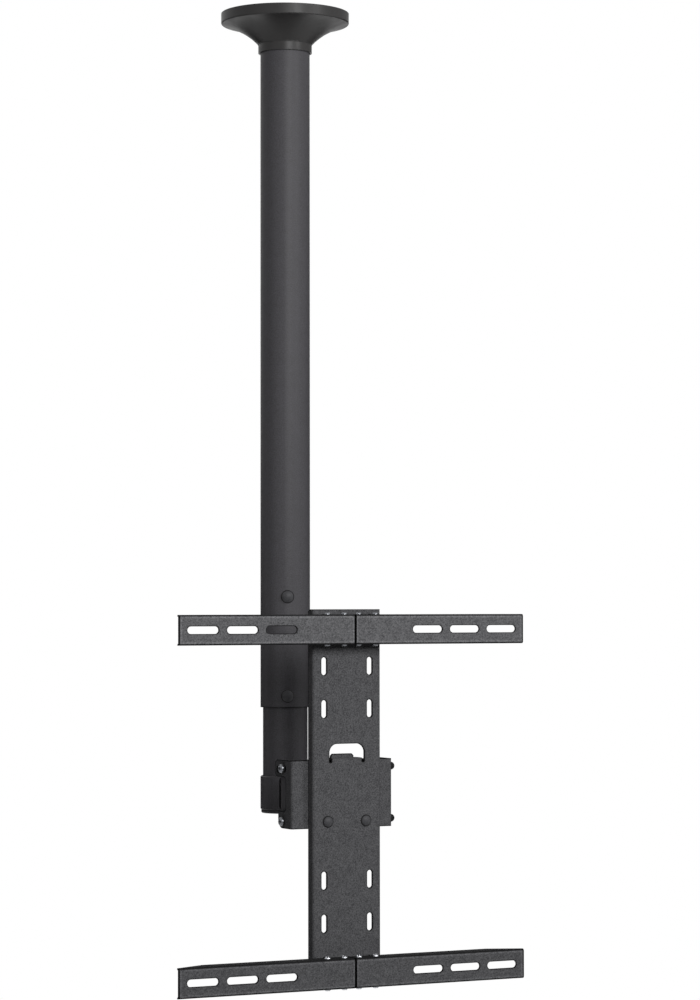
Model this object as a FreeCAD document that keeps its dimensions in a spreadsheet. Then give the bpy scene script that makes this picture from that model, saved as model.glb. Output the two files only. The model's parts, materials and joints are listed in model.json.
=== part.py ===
"""Ceiling mount for a flat television, as a parametric document.

Millimetres, +Z up. The origin is on the ceiling plane, on the axis of the pole. The head faces -Y,
so a distance in front of the pole is measured along -Y. Every driving dimension is a cell of the
sheet, and every sub-part takes its sizes and its place from those cells.
"""
import FreeCAD, Part
import Sketcher
import math
import os
import re

VECTOR = FreeCAD.Vector
ROTATION = FreeCAD.Rotation

# Driving dimensions: name, size, what it is
DIMENSIONS = (
    ("CeilingPlateRadius", 70, "ceiling plate, radius"),
    ("CeilingPlateThickness", 4, "ceiling plate, thickness"),
    ("CeilingSlotReach", 38, "ceiling plate slots, distance from both middle lines"),
    ("CeilingSlotLength", 18, "ceiling plate slots, overall length"),
    ("CeilingSlotWidth", 8, "ceiling plate slots, width"),
    ("WeldLeg", 4, "fillet weld, leg"),
    ("OuterTubeRadius", 30.2, "outer tube, outside radius"),
    ("OuterTubeWall", 2.5, "outer tube, wall"),
    ("OuterTubeLength", 844, "outer tube, length below the ceiling plate"),
    ("TubeTurn", 21, "through bolts, turned about the pole away from the front"),
    ("TubeBoltEnd", 14, "lower through bolt, height above the outer tube's end"),
    ("TubeBoltSpacing", 120, "through bolts, distance between them"),
    ("InnerTubeRadius", 27.2, "inner tube, outside radius"),
    ("InnerTubeWall", 2, "inner tube, wall"),
    ("InnerTubeShown", 83, "inner tube, length in view between outer tube and collar"),
    ("InnerTubeMargin", 34, "inner tube, length above its highest hole"),
    ("HolePitch", 40, "height holes, pitch"),
    ("HoleCount", 16, "height holes, number of levels"),
    ("BoltRadius", 3, "bolts of pole and head, shank radius"),
    ("BoltHoleRadius", 3.3, "clearance holes for these bolts, radius"),
    ("CanopyRadius", 78.2, "ceiling cover, rim radius"),
    ("CanopyWall", 2.2, "ceiling cover, wall"),
    ("CanopyHeight", 48.5, "ceiling cover, height"),
    ("CanopyRim", 11.3, "ceiling cover, height of the straight rim"),
    ("CanopyShoulder", 1.7, "ceiling cover, radius of the rim's rounded edge"),
    ("CanopyNeckHeight", 11, "ceiling cover, height of the straight neck"),
    ("CanopyFlareRadius", 86, "ceiling cover, radius of the hollow flare"),
    ("CanopyBead", 0.6, "ceiling cover, bead where the flare meets the neck, height"),
    ("CanopyFit", 0.4, "ceiling cover, clearance on the tube"),
    ("CanopyLift", 0.4, "ceiling cover, clearance below the ceiling"),
    ("CollarRadius", 30.2, "swivel collar, outside radius"),
    ("CollarChamfer", 1.2, "swivel collar, chamfer of both ends"),
    ("CollarHeight", 41, "swivel collar, height"),
    ("RunningFit", 0.3, "clearance between pieces that turn on each other"),
    ("CapRadius", 29.2, "retaining cap, radius"),
    ("CapThickness", 4, "retaining cap, thickness"),
    ("PlugHeight", 12, "threaded plug in the inner tube, height"),
    ("CapScrewRadius", 4, "retaining screw, shank radius"),
    ("CapScrewHeadRadius", 8, "retaining screw, head radius"),
    ("SwivelScrewRadius", 3, "swivel lock screw, shank radius"),
    ("SwivelBossRadius", 7, "swivel lock boss, radius"),
    ("SwivelBossReach", 8, "swivel lock boss, reach behind the collar"),
    ("NeckWidth", 36, "neck between collar and inner bracket, width"),
    ("NeckHeight", 37, "neck, height"),
    ("NeckWall", 3, "neck, wall"),
    ("HeadRise", 6, "head's middle above the collar's middle"),
    ("NeckReach", 112, "pole axis to the inner bracket's back"),
    ("InnerSheet", 3, "inner bracket, sheet thickness"),
    ("CheekDepth", 29, "inner bracket, depth of the cheeks"),
    ("InnerBracketHeight", 78, "inner bracket, height"),
    ("FrictionWasher", 1.2, "washers between the cheeks, thickness"),
    ("FrictionWasherRadius", 8.5, "washers between the cheeks, radius"),
    ("BoltReach", 16, "tilt bolts in front of the inner bracket's back"),
    ("PivotDrop", 32, "pivot bolt below the head's middle"),
    ("LockRise", 30, "tilt lock bolt above the head's middle"),
    ("TiltUp", 4, "tilt range, screen upwards"),
    ("TiltDown", 12, "tilt range, screen downwards"),
    ("ArcSlotWidth", 7, "arc slot in the ears, width"),
    ("Sheet", 2.5, "tilt bracket, plate and holders, sheet thickness"),
    ("BendRadius", 0.6, "inside radius of the sheet's bends"),
    ("BracketWidth", 133, "tilt bracket, width"),
    ("BracketHeight", 80, "tilt bracket, height"),
    ("BracketFront", 22.5, "tilt bracket's front face before the tilt bolts"),
    ("UpperEarDepth", 44, "upper ears, depth from the front face"),
    ("LowerEarDepth", 35, "lower ears, depth from the front face"),
    ("FlangeDepth", 15.5, "tilt bracket's side between the ears, depth"),
    ("EarHeight", 20, "ears, height"),
    ("EarRound", 8, "ears, corner radius"),
    ("TabWidth", 30, "raised tab on the tilt bracket, width"),
    ("TabHeight", 7, "raised tab, height"),
    ("PlateWidth", 89.6, "upright plate, width"),
    ("PlateHeight", 433, "upright plate, height"),
    ("PlateDepth", 12.4, "upright plate, depth over the side flanges"),
    ("PlateChamfer", 5, "upright plate, chamfer at the flange ends"),
    ("SlotWidth", 7, "upright plate slots, width"),
    ("SlotLength", 21, "upright plate slots, overall length"),
    ("SlotSpread", 30, "upright plate slots, distance from the middle line"),
    ("SlotPitch", 50, "upright plate slots, pitch"),
    ("SlotFirst", 100, "upright plate slots, first one from the middle"),
    ("WindowWidth", 46, "window in the upright plate, width"),
    ("WindowHeight", 16.5, "window, height over the flap"),
    ("WindowCorner", 10, "window, radius of the upper corners"),
    ("FlapWidth", 40, "flap bent out of the window, width"),
    ("FlapLength", 17, "flap, length behind the plate's front face"),
    ("FlapFit", 0.5, "clearance between flap and tab"),
    ("ReliefDepth", 2.5, "bend relief beside the flap, depth"),
    ("PlateBoltSpread", 25, "plate bolts, distance from the middle line"),
    ("PlateBoltDrop", 31.5, "plate bolts below the head's middle"),
    ("SleeveRadius", 6, "distance sleeves of the plate bolts, radius"),
    ("ArmSpacing", 400, "distance between the two arms"),
    ("ArmDrop", 7, "arms below the middle of their plate slots"),
    ("ArmHeight", 35, "arms, height"),
    ("ArmDepth", 22, "arms, depth of the flanges"),
    ("ArmGap", 0.4, "clearance between arm flanges and plate"),
    ("ArmSheet", 2, "arms, sheet thickness"),
    ("ArmHalfLength", 226.5, "arms, from the middle to an end"),
    ("ArmSplit", 1.4, "gap between the two halves of an arm"),
    ("ArmTaper", 40, "arms, length of the tapered flange ends"),
    ("ArmTipDepth", 4, "arms, depth of the flange at its outer end"),
    ("ArmSlotLength", 39.6, "arm slots, overall length"),
    ("ArmSlotWidth", 8.6, "arm slots, width"),
    ("ArmSlotFirst", 96, "arm slots, first one from the middle"),
    ("ArmSlotPitch", 50, "arm slots, pitch"),
    ("HolderWidth", 86, "arm holder, width"),
    ("HolderDepth", 18, "arm holder, depth"),
    ("ArmScrewFirst", 9.5, "arm screws, first one from the middle"),
    ("ArmScrewPitch", 22, "arm screws, pitch"),
    ("ArmScrewDepth", 11, "arm screws behind the arm's front face"),
    ("ArmScrewRadius", 2, "arm screws, shank radius"),
    ("ArmScrewHeadRadius", 4, "arm screws, head radius"),
    ("ArmScrewHeadHeight", 2.6, "arm screws, head height"),
    ("ArmScrewLength", 8, "arm screws, shank length"),
    ("ThreadFit", 0.1, "clearance between a screw and its tapped hole"),
    ("TubeDomeRadius", 8, "through bolts, head radius"),
    ("TubeDomeHeight", 4.6, "through bolts, head height"),
    ("PlateDomeRadius", 7, "plate bolts, head radius"),
    ("PlateDomeHeight", 3.8, "plate bolts, head height"),
    ("PanHeadRadius", 5.2, "tilt bolts, head radius"),
    ("PanHeadHeight", 3.6, "tilt bolts, head height"),
    ("NutRadius", 5.77, "nuts, radius over the corners"),
    ("NutHeight", 5, "nuts, height of the hexagon"),
    ("NutCollar", 1.6, "nuts, height of the locking ring"),
    ("WasherRadius", 6.2, "washers, radius"),
    ("WasherThickness", 1.4, "washers, thickness"),
    ("BoltTail", 3, "bolts, thread standing out of the nut"),
    ("CapNutHeight", 13, "cap nuts of the tilt bolts, height"),
    ("CapNutCrown", 2.5, "cap nuts, solid crown over the thread"),
)

DOCUMENT = FreeCAD.newDocument("CeilingMount")
SHEET = DOCUMENT.addObject("Spreadsheet::Sheet", "Dims")
for row, (alias, size, meaning) in enumerate(DIMENSIONS, start=1):
    SHEET.set("A%d" % row, meaning)
    SHEET.set("B%d" % row, str(size))
    SHEET.setAlias("B%d" % row, alias)
DOCUMENT.recompute()

# Levels, measured up from the ceiling plane
TUBE_TOP = "-CeilingPlateThickness"
TUBE_END = "-(CeilingPlateThickness + OuterTubeLength)"
LOWER_BOLT = "%s + TubeBoltEnd" % TUBE_END
UPPER_BOLT = "%s + TubeBoltSpacing" % LOWER_BOLT
HIGHEST_HOLE = "%s + HolePitch * (HoleCount - 1)" % LOWER_BOLT
INNER_TOP = "%s + InnerTubeMargin" % HIGHEST_HOLE
COLLAR_TOP = "%s - InnerTubeShown" % TUBE_END
COLLAR_END = "%s - CollarHeight" % COLLAR_TOP
COLLAR_MIDDLE = "%s - CollarHeight / 2" % COLLAR_TOP
HEAD_MIDDLE = "%s + HeadRise" % COLLAR_MIDDLE
PIVOT_LEVEL = "%s - PivotDrop" % HEAD_MIDDLE
LOCK_LEVEL = "%s + LockRise" % HEAD_MIDDLE
PLATE_BOLT_LEVEL = "%s - PlateBoltDrop" % HEAD_MIDDLE

# Distances in front of the pole's axis
PIVOT_FRONT = "(NeckReach + BoltReach)"
BRACKET_FACE = "(%s + BracketFront)" % PIVOT_FRONT
PLATE_FACE = "(%s + PlateDepth)" % BRACKET_FACE
ARM_FACE = "(%s + ArmGap + ArmDepth)" % PLATE_FACE

# Directions that a fastener's head can point in
TO_FRONT = ROTATION(VECTOR(1, 0, 0), 90)
TO_BACK = ROTATION(VECTOR(1, 0, 0), -90)
TO_LEFT = ROTATION(VECTOR(0, 1, 0), -90)
TO_RIGHT = ROTATION(VECTOR(0, 1, 0), 90)
TO_TOP = ROTATION()
TO_BOTTOM = ROTATION(VECTOR(1, 0, 0), 180)

# Radius of the small flat on top of a turned dome
DOME_TIP = "0.4"

LEFT_TURN = 1
RIGHT_TURN = -1
SUB_PARTS = []


def tied(text):
    """An expression of the document from one written in the sheet's names."""
    return re.sub(r"\b([A-Z][A-Za-z]+)\b", r"Dims.\1", text)


def amount(text):
    """The number that such an expression gives now."""
    return float(SHEET.evalExpression(tied(text)))


def new_body(label, place=("0", "0", "0"), turn=ROTATION()):
    """A body with its label and its place, listed as a sub-part."""
    body = DOCUMENT.addObject("PartDesign::Body", label)
    body.Label = label
    body.Placement = FreeCAD.Placement(VECTOR(*[amount(text) for text in place]), turn)
    for axis, text in zip("xyz", place):
        body.setExpression("Placement.Base." + axis, tied(text))
    SUB_PARTS.append(body)
    return body


def new_sketch(body, plane, name, level="0"):
    """A sketch on one of the body's own origin planes, moved along its normal by a level."""
    sketch = body.newObject("Sketcher::SketchObject", body.Name + name)
    support = [item for item in body.Origin.OriginFeatures if item.Role == plane + "_Plane"][0]
    sketch.AttachmentSupport = [(support, "")]
    sketch.MapMode = "FlatFace"
    sketch.setExpression("AttachmentOffset.Base.z", tied(level))
    return sketch


def constrain(sketch, constraints):
    """Adds constraints; each is (constraint, expression or None)."""
    numbers = sketch.addConstraint([constraint for constraint, _ in constraints])
    for number, (_, text) in zip(numbers, constraints):
        if text is not None:
            sketch.setExpression("Constraints[%d]" % number, tied(text))


def pinned(element, point, across, up):
    """The two constraints that hold a point of an element at its distances from the origin."""
    return [
        (Sketcher.Constraint("DistanceX", -1, 1, element, point, amount(across)), across),
        (Sketcher.Constraint("DistanceY", -1, 1, element, point, amount(up)), up),
    ]


def draw_outline(sketch, corners):
    """Draws a closed outline.

    Each corner is (across, up), or (across, up, radius, turn) where the edge that leaves it is an
    arc of that radius, turning left or right.
    """
    points = [VECTOR(amount(corner[0]), amount(corner[1]), 0) for corner in corners]
    shapes = []
    ends = []
    for corner, start, end in zip(corners, points, points[1:] + points[:1]):
        if len(corner) == 2:
            shapes.append(Part.LineSegment(start, end))
            ends.append((1, 2))
            continue
        radius = amount(corner[2])
        turn = corner[3]
        chord = end - start
        side = VECTOR(-chord.y, chord.x, 0) / chord.Length
        rise = math.sqrt(max(radius ** 2 - (chord.Length / 2) ** 2, 0.0))
        centre = (start + end) / 2 + side * rise * turn
        first, last = (start, end) if turn == LEFT_TURN else (end, start)
        angles = [math.atan2(point.y - centre.y, point.x - centre.x) for point in (first, last)]
        circle = Part.Circle(centre, VECTOR(0, 0, 1), radius)
        shapes.append(Part.ArcOfCircle(circle, angles[0], angles[1]))
        ends.append((1, 2) if turn == LEFT_TURN else (2, 1))
    elements = sketch.addGeometry(shapes, False)
    constraints = []
    for index, (corner, element) in enumerate(zip(corners, elements)):
        following = (index + 1) % len(corners)
        joint = Sketcher.Constraint(
            "Coincident", element, ends[index][1], elements[following], ends[following][0])
        constraints.append((joint, None))
        constraints += pinned(element, ends[index][0], corner[0], corner[1])
        if len(corner) == 4:
            size = Sketcher.Constraint("Radius", element, amount(corner[2]))
            constraints.append((size, corner[2]))
    constrain(sketch, constraints)


def draw_rectangle(sketch, left, right, bottom, top):
    """Draws a rectangle between two sides and two levels."""
    draw_outline(sketch, [(left, bottom), (right, bottom), (right, top), (left, top)])


def draw_circle(sketch, across, up, radius):
    """Draws a circle about a centre."""
    centre = VECTOR(amount(across), amount(up), 0)
    element = sketch.addGeometry(Part.Circle(centre, VECTOR(0, 0, 1), amount(radius)), False)
    size = Sketcher.Constraint("Radius", element, amount(radius))
    constrain(sketch, pinned(element, 3, across, up) + [(size, radius)])


def draw_hexagon(sketch, radius):
    """Draws a hexagon about the origin, with a radius over its corners."""
    draw_outline(sketch, [
        ("%s * cos(%d)" % (radius, angle), "%s * sin(%d)" % (radius, angle))
        for angle in range(0, 360, 60)
    ])


def draw_slot(sketch, across, up, length, width, upright):
    """Draws a slot with round ends about its middle, lying along one of the sketch's axes."""
    reach = "(%s - %s) / 2" % (length, width)
    radius = "%s / 2" % width
    step = (0, 1) if upright else (1, 0)
    centres = []
    for sign in ("+", "-"):
        centres.append((
            "%s %s %s" % (across, sign, reach) if not upright else across,
            "%s %s %s" % (up, sign, reach) if upright else up,
        ))
    along = VECTOR(step[0], step[1], 0)
    aside = VECTOR(step[1], -step[0], 0)
    size = amount(radius)
    far, near = [VECTOR(amount(x), amount(y), 0) for x, y in centres]
    bearing = math.atan2(along.y, along.x)
    quarter = math.pi / 2
    normal = VECTOR(0, 0, 1)
    shapes = [
        Part.ArcOfCircle(Part.Circle(far, normal, size), bearing - quarter, bearing + quarter),
        Part.LineSegment(far - aside * size, near - aside * size),
        Part.ArcOfCircle(Part.Circle(near, normal, size), bearing + quarter, bearing + 3 * quarter),
        Part.LineSegment(near + aside * size, far + aside * size),
    ]
    cap, side, foot, back = sketch.addGeometry(shapes, False)
    constraints = [
        (Sketcher.Constraint("Tangent", cap, 2, side, 1), None),
        (Sketcher.Constraint("Tangent", side, 2, foot, 1), None),
        (Sketcher.Constraint("Tangent", foot, 2, back, 1), None),
        (Sketcher.Constraint("Tangent", back, 2, cap, 1), None),
        (Sketcher.Constraint("Radius", cap, size), radius),
    ]
    constraints += pinned(cap, 3, *centres[0])
    constraints += pinned(foot, 3, *centres[1])
    constrain(sketch, constraints)


def add_feature(body, kind, name, sketch):
    """A feature of the body made from a sketch, which is hidden in the tree below it."""
    feature = body.newObject("PartDesign::" + kind, body.Name + name)
    feature.Profile = sketch
    return feature


def pad(body, sketch, length, name="Pad", both_ways=False, backwards=False):
    """Adds material along the sketch's normal."""
    feature = add_feature(body, "Pad", name, sketch)
    feature.setExpression("Length", tied(length))
    feature.SideType = "Symmetric" if both_ways else "One side"
    feature.Reversed = backwards
    finish(feature, 1)


def pocket(body, sketch, name, depth=None, backwards=False):
    """Takes material away: to a depth, or through everything on both sides."""
    feature = add_feature(body, "Pocket", name, sketch)
    if depth is None:
        feature.Type = "ThroughAll"
        feature.SideType = "Symmetric"
    else:
        feature.setExpression("Length", tied(depth))
        feature.Reversed = backwards
    finish(feature, -1)


def revolve(body, sketch, name="Turn", axis="V_Axis"):
    """Turns an outline once round an axis of its sketch."""
    feature = add_feature(body, "Revolution", name, sketch)
    feature.ReferenceAxis = (sketch, [axis])
    feature.Angle = 360
    finish(feature, 1)


def finish(feature, sense):
    """Works a feature out and makes sure that it added or took away material."""
    base = feature.BaseFeature
    before = base.Shape.Volume if base is not None else 0.0
    DOCUMENT.recompute()
    change = (feature.Shape.Volume - before) * sense
    if change <= 1e-6:
        raise ValueError("%s changes nothing" % feature.Name)


def edges_at(shape, direction, places, mirrored):
    """Names of the straight edges along a direction whose middles lie at given places.

    places maps an axis to a place on it. On the mirrored axes its opposite counts too.
    """
    names = []
    for number, edge in enumerate(shape.Edges, start=1):
        if edge.Curve.TypeId != "Part::GeomLine":
            continue
        run = edge.Vertexes[-1].Point - edge.Vertexes[0].Point
        if abs(abs(getattr(run, direction)) - run.Length) > 1e-6:
            continue
        middle = (edge.Vertexes[-1].Point + edge.Vertexes[0].Point) / 2
        offsets = []
        for axis, place in places.items():
            here = getattr(middle, axis)
            offset = abs(here - place)
            offsets.append(min(offset, abs(here + place)) if axis in mirrored else offset)
        if max(offsets) < 1e-3:
            names.append("Edge%d" % number)
    return names


def round_edges(body, name, radius, direction, mirrored, **places):
    """Rounds the straight edges at a place, given in the sheet's names."""
    sizes = {axis: amount(text) for axis, text in places.items()}
    found = edges_at(body.Tip.Shape, direction, sizes, mirrored)
    if not found:
        raise ValueError("%s finds no edge" % name)
    dress_edges(body, "Fillet", name, found, "Radius", radius)


def circles_at(shape, radius, level):
    """Names of the round edges of a radius that lie at a level."""
    return [
        "Edge%d" % number for number, edge in enumerate(shape.Edges, start=1)
        if edge.Curve.TypeId == "Part::GeomCircle"
        and abs(edge.Curve.Radius - amount(radius)) < 1e-6
        and abs(edge.Curve.Center.z - amount(level)) < 1e-6
    ]


def dress_edges(body, kind, name, edges, size, text):
    """Puts a fillet or a chamfer on edges of the body's latest feature."""
    base = body.Tip
    feature = body.newObject("PartDesign::" + kind, body.Name + name)
    feature.Base = (base, edges)
    feature.setExpression(size, tied(text))
    DOCUMENT.recompute()


def add_ceiling_plate():
    """Round plate with four slots for the ceiling's screws and a hole for the cables."""
    body = new_body("ceiling_plate")
    disc = new_sketch(body, "XY", "Disc")
    draw_circle(disc, "0", "0", "CeilingPlateRadius")
    draw_circle(disc, "0", "0", "OuterTubeRadius - OuterTubeWall")
    pad(body, disc, "CeilingPlateThickness", backwards=True)
    slots = new_sketch(body, "XY", "Slots")
    for across in ("CeilingSlotReach", "-CeilingSlotReach"):
        for up in ("CeilingSlotReach", "-CeilingSlotReach"):
            draw_slot(slots, across, up, "CeilingSlotLength", "CeilingSlotWidth", False)
    pocket(body, slots, "SlotCut")


def add_weld():
    """Fillet weld between ceiling plate and outer tube."""
    body = new_body("tube_weld", ("0", "0", TUBE_TOP))
    bead = new_sketch(body, "XZ", "Bead")
    draw_outline(bead, [
        ("OuterTubeRadius", "0"),
        ("OuterTubeRadius", "-WeldLeg"),
        ("OuterTubeRadius + WeldLeg", "0"),
    ])
    revolve(body, bead)


def add_tube(label, top, end, radius, wall, holes):
    """A round tube with cross holes at given levels, turned with the through bolts."""
    turn = ROTATION(VECTOR(0, 0, 1), -amount("TubeTurn"))
    body = new_body(label, ("0", "0", top), turn)
    section = new_sketch(body, "XY", "Section")
    draw_circle(section, "0", "0", radius)
    draw_circle(section, "0", "0", "%s - %s" % (radius, wall))
    pad(body, section, "%s - (%s)" % (top, end), backwards=True)
    drilled = new_sketch(body, "XZ", "Holes")
    for level in holes:
        draw_circle(drilled, "0", "%s - (%s)" % (level, top), "BoltHoleRadius")
    pocket(body, drilled, "HoleCut")


def add_outer_tube():
    """Fixed tube under the ceiling plate."""
    add_tube("outer_tube", TUBE_TOP, TUBE_END, "OuterTubeRadius", "OuterTubeWall",
             [LOWER_BOLT, UPPER_BOLT])


def add_inner_tube():
    """Sliding tube with its row of height holes."""
    count = round(amount("HoleCount"))
    levels = ["%s + HolePitch * %d" % (LOWER_BOLT, step) for step in range(count)]
    add_tube("inner_tube", INNER_TOP, COLLAR_END, "InnerTubeRadius", "InnerTubeWall", levels)


def add_canopy():
    """Flared cover that hides the ceiling plate: rim, hollow flare and neck, of even wall."""
    body = new_body("canopy", ("0", "0", "-CanopyLift"))
    profile = new_sketch(body, "XZ", "Profile")
    bore = "OuterTubeRadius + CanopyFit"
    neck = "%s + CanopyWall" % bore
    bead = "%s + CanopyBead" % neck
    flare_start = "CanopyRadius - CanopyShoulder * 1.2"
    shoulder_end = "-(CanopyRim + CanopyShoulder * 0.98)"
    neck_top = "-(CanopyHeight - CanopyNeckHeight)"
    draw_outline(profile, [
        ("CanopyRadius", "0"),
        ("CanopyRadius", "-CanopyRim", "CanopyShoulder", RIGHT_TURN),
        (flare_start, shoulder_end, "CanopyFlareRadius", LEFT_TURN),
        (bead, neck_top, "CanopyBead * 1.2", RIGHT_TURN),
        (neck, "%s - CanopyBead * 1.6" % neck_top),
        (neck, "-CanopyHeight"),
        (bore, "-CanopyHeight"),
        (bore, "%s + CanopyWall" % neck_top, "CanopyFlareRadius + CanopyWall", RIGHT_TURN),
        ("CanopyRadius - CanopyWall", "%s + CanopyWall" % shoulder_end),
        ("CanopyRadius - CanopyWall", "0"),
    ])
    revolve(body, profile)


def add_dome_bolt(label, place, turn, head_radius, head_height, length):
    """Bolt with a smooth domed head, its underside at the origin and its shank along -Z."""
    body = new_body(label, place, turn)
    profile = new_sketch(body, "XZ", "Profile")
    crown = "((%s)^2 + (%s)^2) / (2 * %s)" % (head_radius, head_height, head_height)
    draw_outline(profile, [
        ("0", "-(%s)" % length),
        ("BoltRadius - 0.4", "-(%s)" % length),
        ("BoltRadius", "-(%s) + 0.4" % length),
        ("BoltRadius", "0"),
        (head_radius, "0", "%s * 1.02" % crown, LEFT_TURN),
        (DOME_TIP, head_height),
        ("0", head_height),
    ])
    revolve(body, profile)


def add_pan_screw(label, place, turn, sizes):
    """Screw with a rounded pan head and a cross recess, its underside at the origin.

    sizes holds the head's radius and height, and the shank's radius and length.
    """
    head_radius, head_height, radius, length = sizes
    body = new_body(label, place, turn)
    profile = new_sketch(body, "XZ", "Profile")
    edge = "%s * 0.45" % head_height
    flat = "%s * 0.45" % head_radius
    draw_outline(profile, [
        ("0", "-(%s)" % length),
        ("%s - 0.3" % radius, "-(%s)" % length),
        (radius, "-(%s) + 0.3" % length),
        (radius, "0"),
        (head_radius, "0"),
        (head_radius, edge, "%s * 0.9" % head_radius, LEFT_TURN),
        (flat, head_height),
        ("0", head_height),
    ])
    revolve(body, profile)
    cross = new_sketch(body, "XY", "Cross", head_height)
    arm = "%s * 0.55" % head_radius
    web = "%s * 0.11" % head_radius
    draw_outline(cross, [
        ("-(%s)" % arm, "-(%s)" % web), ("-(%s)" % web, "-(%s)" % web),
        ("-(%s)" % web, "-(%s)" % arm), (web, "-(%s)" % arm),
        (web, "-(%s)" % web), (arm, "-(%s)" % web),
        (arm, web), (web, web),
        (web, arm), ("-(%s)" % web, arm),
        ("-(%s)" % web, web), ("-(%s)" % arm, web),
    ])
    pocket(body, cross, "Recess", "%s * 0.62" % head_height)


def add_nut(label, place, turn):
    """Locking nut: a hexagon with a plain ring behind it, its face at the origin, along +Z."""
    body = new_body(label, place, turn)
    hexagon = new_sketch(body, "XY", "Hexagon")
    draw_hexagon(hexagon, "NutRadius")
    draw_circle(hexagon, "0", "0", "BoltRadius + ThreadFit")
    pad(body, hexagon, "NutHeight")
    ring = new_sketch(body, "XY", "Ring", "NutHeight")
    draw_circle(ring, "0", "0", "NutRadius * 0.82")
    draw_circle(ring, "0", "0", "BoltRadius + ThreadFit")
    pad(body, ring, "NutCollar", "RingPad")


def add_cap_nut(label, place, turn):
    """Closed nut with a domed end, its face at the origin, along +Z."""
    body = new_body(label, place, turn)
    hexagon = new_sketch(body, "XY", "Hexagon")
    draw_hexagon(hexagon, "NutRadius")
    pad(body, hexagon, "NutHeight")
    dome = new_sketch(body, "XZ", "Dome")
    radius = "NutRadius * 0.82"
    draw_outline(dome, [
        ("0", "NutHeight"),
        (radius, "NutHeight"),
        (radius, "CapNutHeight - %s" % radius, "%s * 1.01" % radius, LEFT_TURN),
        (DOME_TIP, "CapNutHeight"),
        ("0", "CapNutHeight"),
    ])
    revolve(body, dome)
    bore = new_sketch(body, "XY", "Bore")
    draw_circle(bore, "0", "0", "BoltRadius + ThreadFit")
    pocket(body, bore, "BoreCut", "CapNutHeight - CapNutCrown", backwards=True)


def add_washer(label, place, turn, radius="WasherRadius", thickness="WasherThickness"):
    """Flat washer with its face at the origin, along +Z."""
    body = new_body(label, place, turn)
    ring = new_sketch(body, "XY", "Ring")
    draw_circle(ring, "0", "0", radius)
    draw_circle(ring, "0", "0", "BoltHoleRadius")
    pad(body, ring, thickness)
    rim = circles_at(body.Tip.Shape, radius, thickness)
    dress_edges(body, "Chamfer", "Bevel", rim, "Size", "%s * 0.2" % thickness)


def add_through_bolts():
    """Two bolts through both tubes, with washer and locking nut at the back."""
    facing = ROTATION(VECTOR(0, 0, 1), -amount("TubeTurn"))
    grip = "2 * OuterTubeRadius + WasherThickness + NutHeight + NutCollar + BoltTail"
    for name, level in (("upper", UPPER_BOLT), ("lower", LOWER_BOLT)):
        def spot(distance, level=level):
            """A place on the bolt's line, at a distance in front of the pole's axis."""
            return ("-(%s) * sin(TubeTurn)" % distance, "-(%s) * cos(TubeTurn)" % distance, level)

        back_face = "-OuterTubeRadius"
        add_dome_bolt("tube_bolt_" + name, spot("OuterTubeRadius"), facing * TO_FRONT,
                      "TubeDomeRadius", "TubeDomeHeight", grip)
        add_washer("tube_washer_" + name, spot(back_face), facing * TO_BACK)
        add_nut("tube_nut_" + name, spot("%s - WasherThickness" % back_face), facing * TO_BACK)


def add_tube_end():
    """Threaded plug, retaining cap and countersunk screw that carry the collar."""
    plug = new_body("tube_plug", ("0", "0", COLLAR_END))
    section = new_sketch(plug, "XY", "Section")
    draw_circle(section, "0", "0", "InnerTubeRadius - InnerTubeWall")
    draw_circle(section, "0", "0", "CapScrewRadius + ThreadFit")
    pad(plug, section, "PlugHeight")
    cap = new_body("retaining_cap", ("0", "0", COLLAR_END))
    profile = new_sketch(cap, "XZ", "Profile")
    sink = "CapThickness * 0.7"
    draw_outline(profile, [
        ("CapScrewRadius + ThreadFit", "0"),
        ("InnerTubeRadius", "0"),
        ("InnerTubeRadius", "-RunningFit"),
        ("CapRadius", "-RunningFit"),
        ("CapRadius", "-(CapThickness - 1)"),
        ("CapRadius - 1", "-CapThickness"),
        ("CapScrewHeadRadius + ThreadFit", "-CapThickness"),
        ("CapScrewRadius + ThreadFit", "-CapThickness + %s" % sink),
    ])
    revolve(cap, profile)
    screw = new_body("cap_screw", ("0", "0", "%s - CapThickness" % COLLAR_END))
    shank = new_sketch(screw, "XZ", "Profile")
    draw_outline(shank, [
        ("0", "0"),
        ("CapScrewHeadRadius", "0"),
        ("CapScrewRadius", sink),
        ("CapScrewRadius", "CapThickness + PlugHeight"),
        ("0", "CapThickness + PlugHeight"),
    ])
    revolve(screw, shank)
    socket = new_sketch(screw, "XY", "Socket")
    draw_hexagon(socket, "CapScrewRadius * 0.7")
    pocket(screw, socket, "SocketCut", "3", backwards=True)


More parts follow.
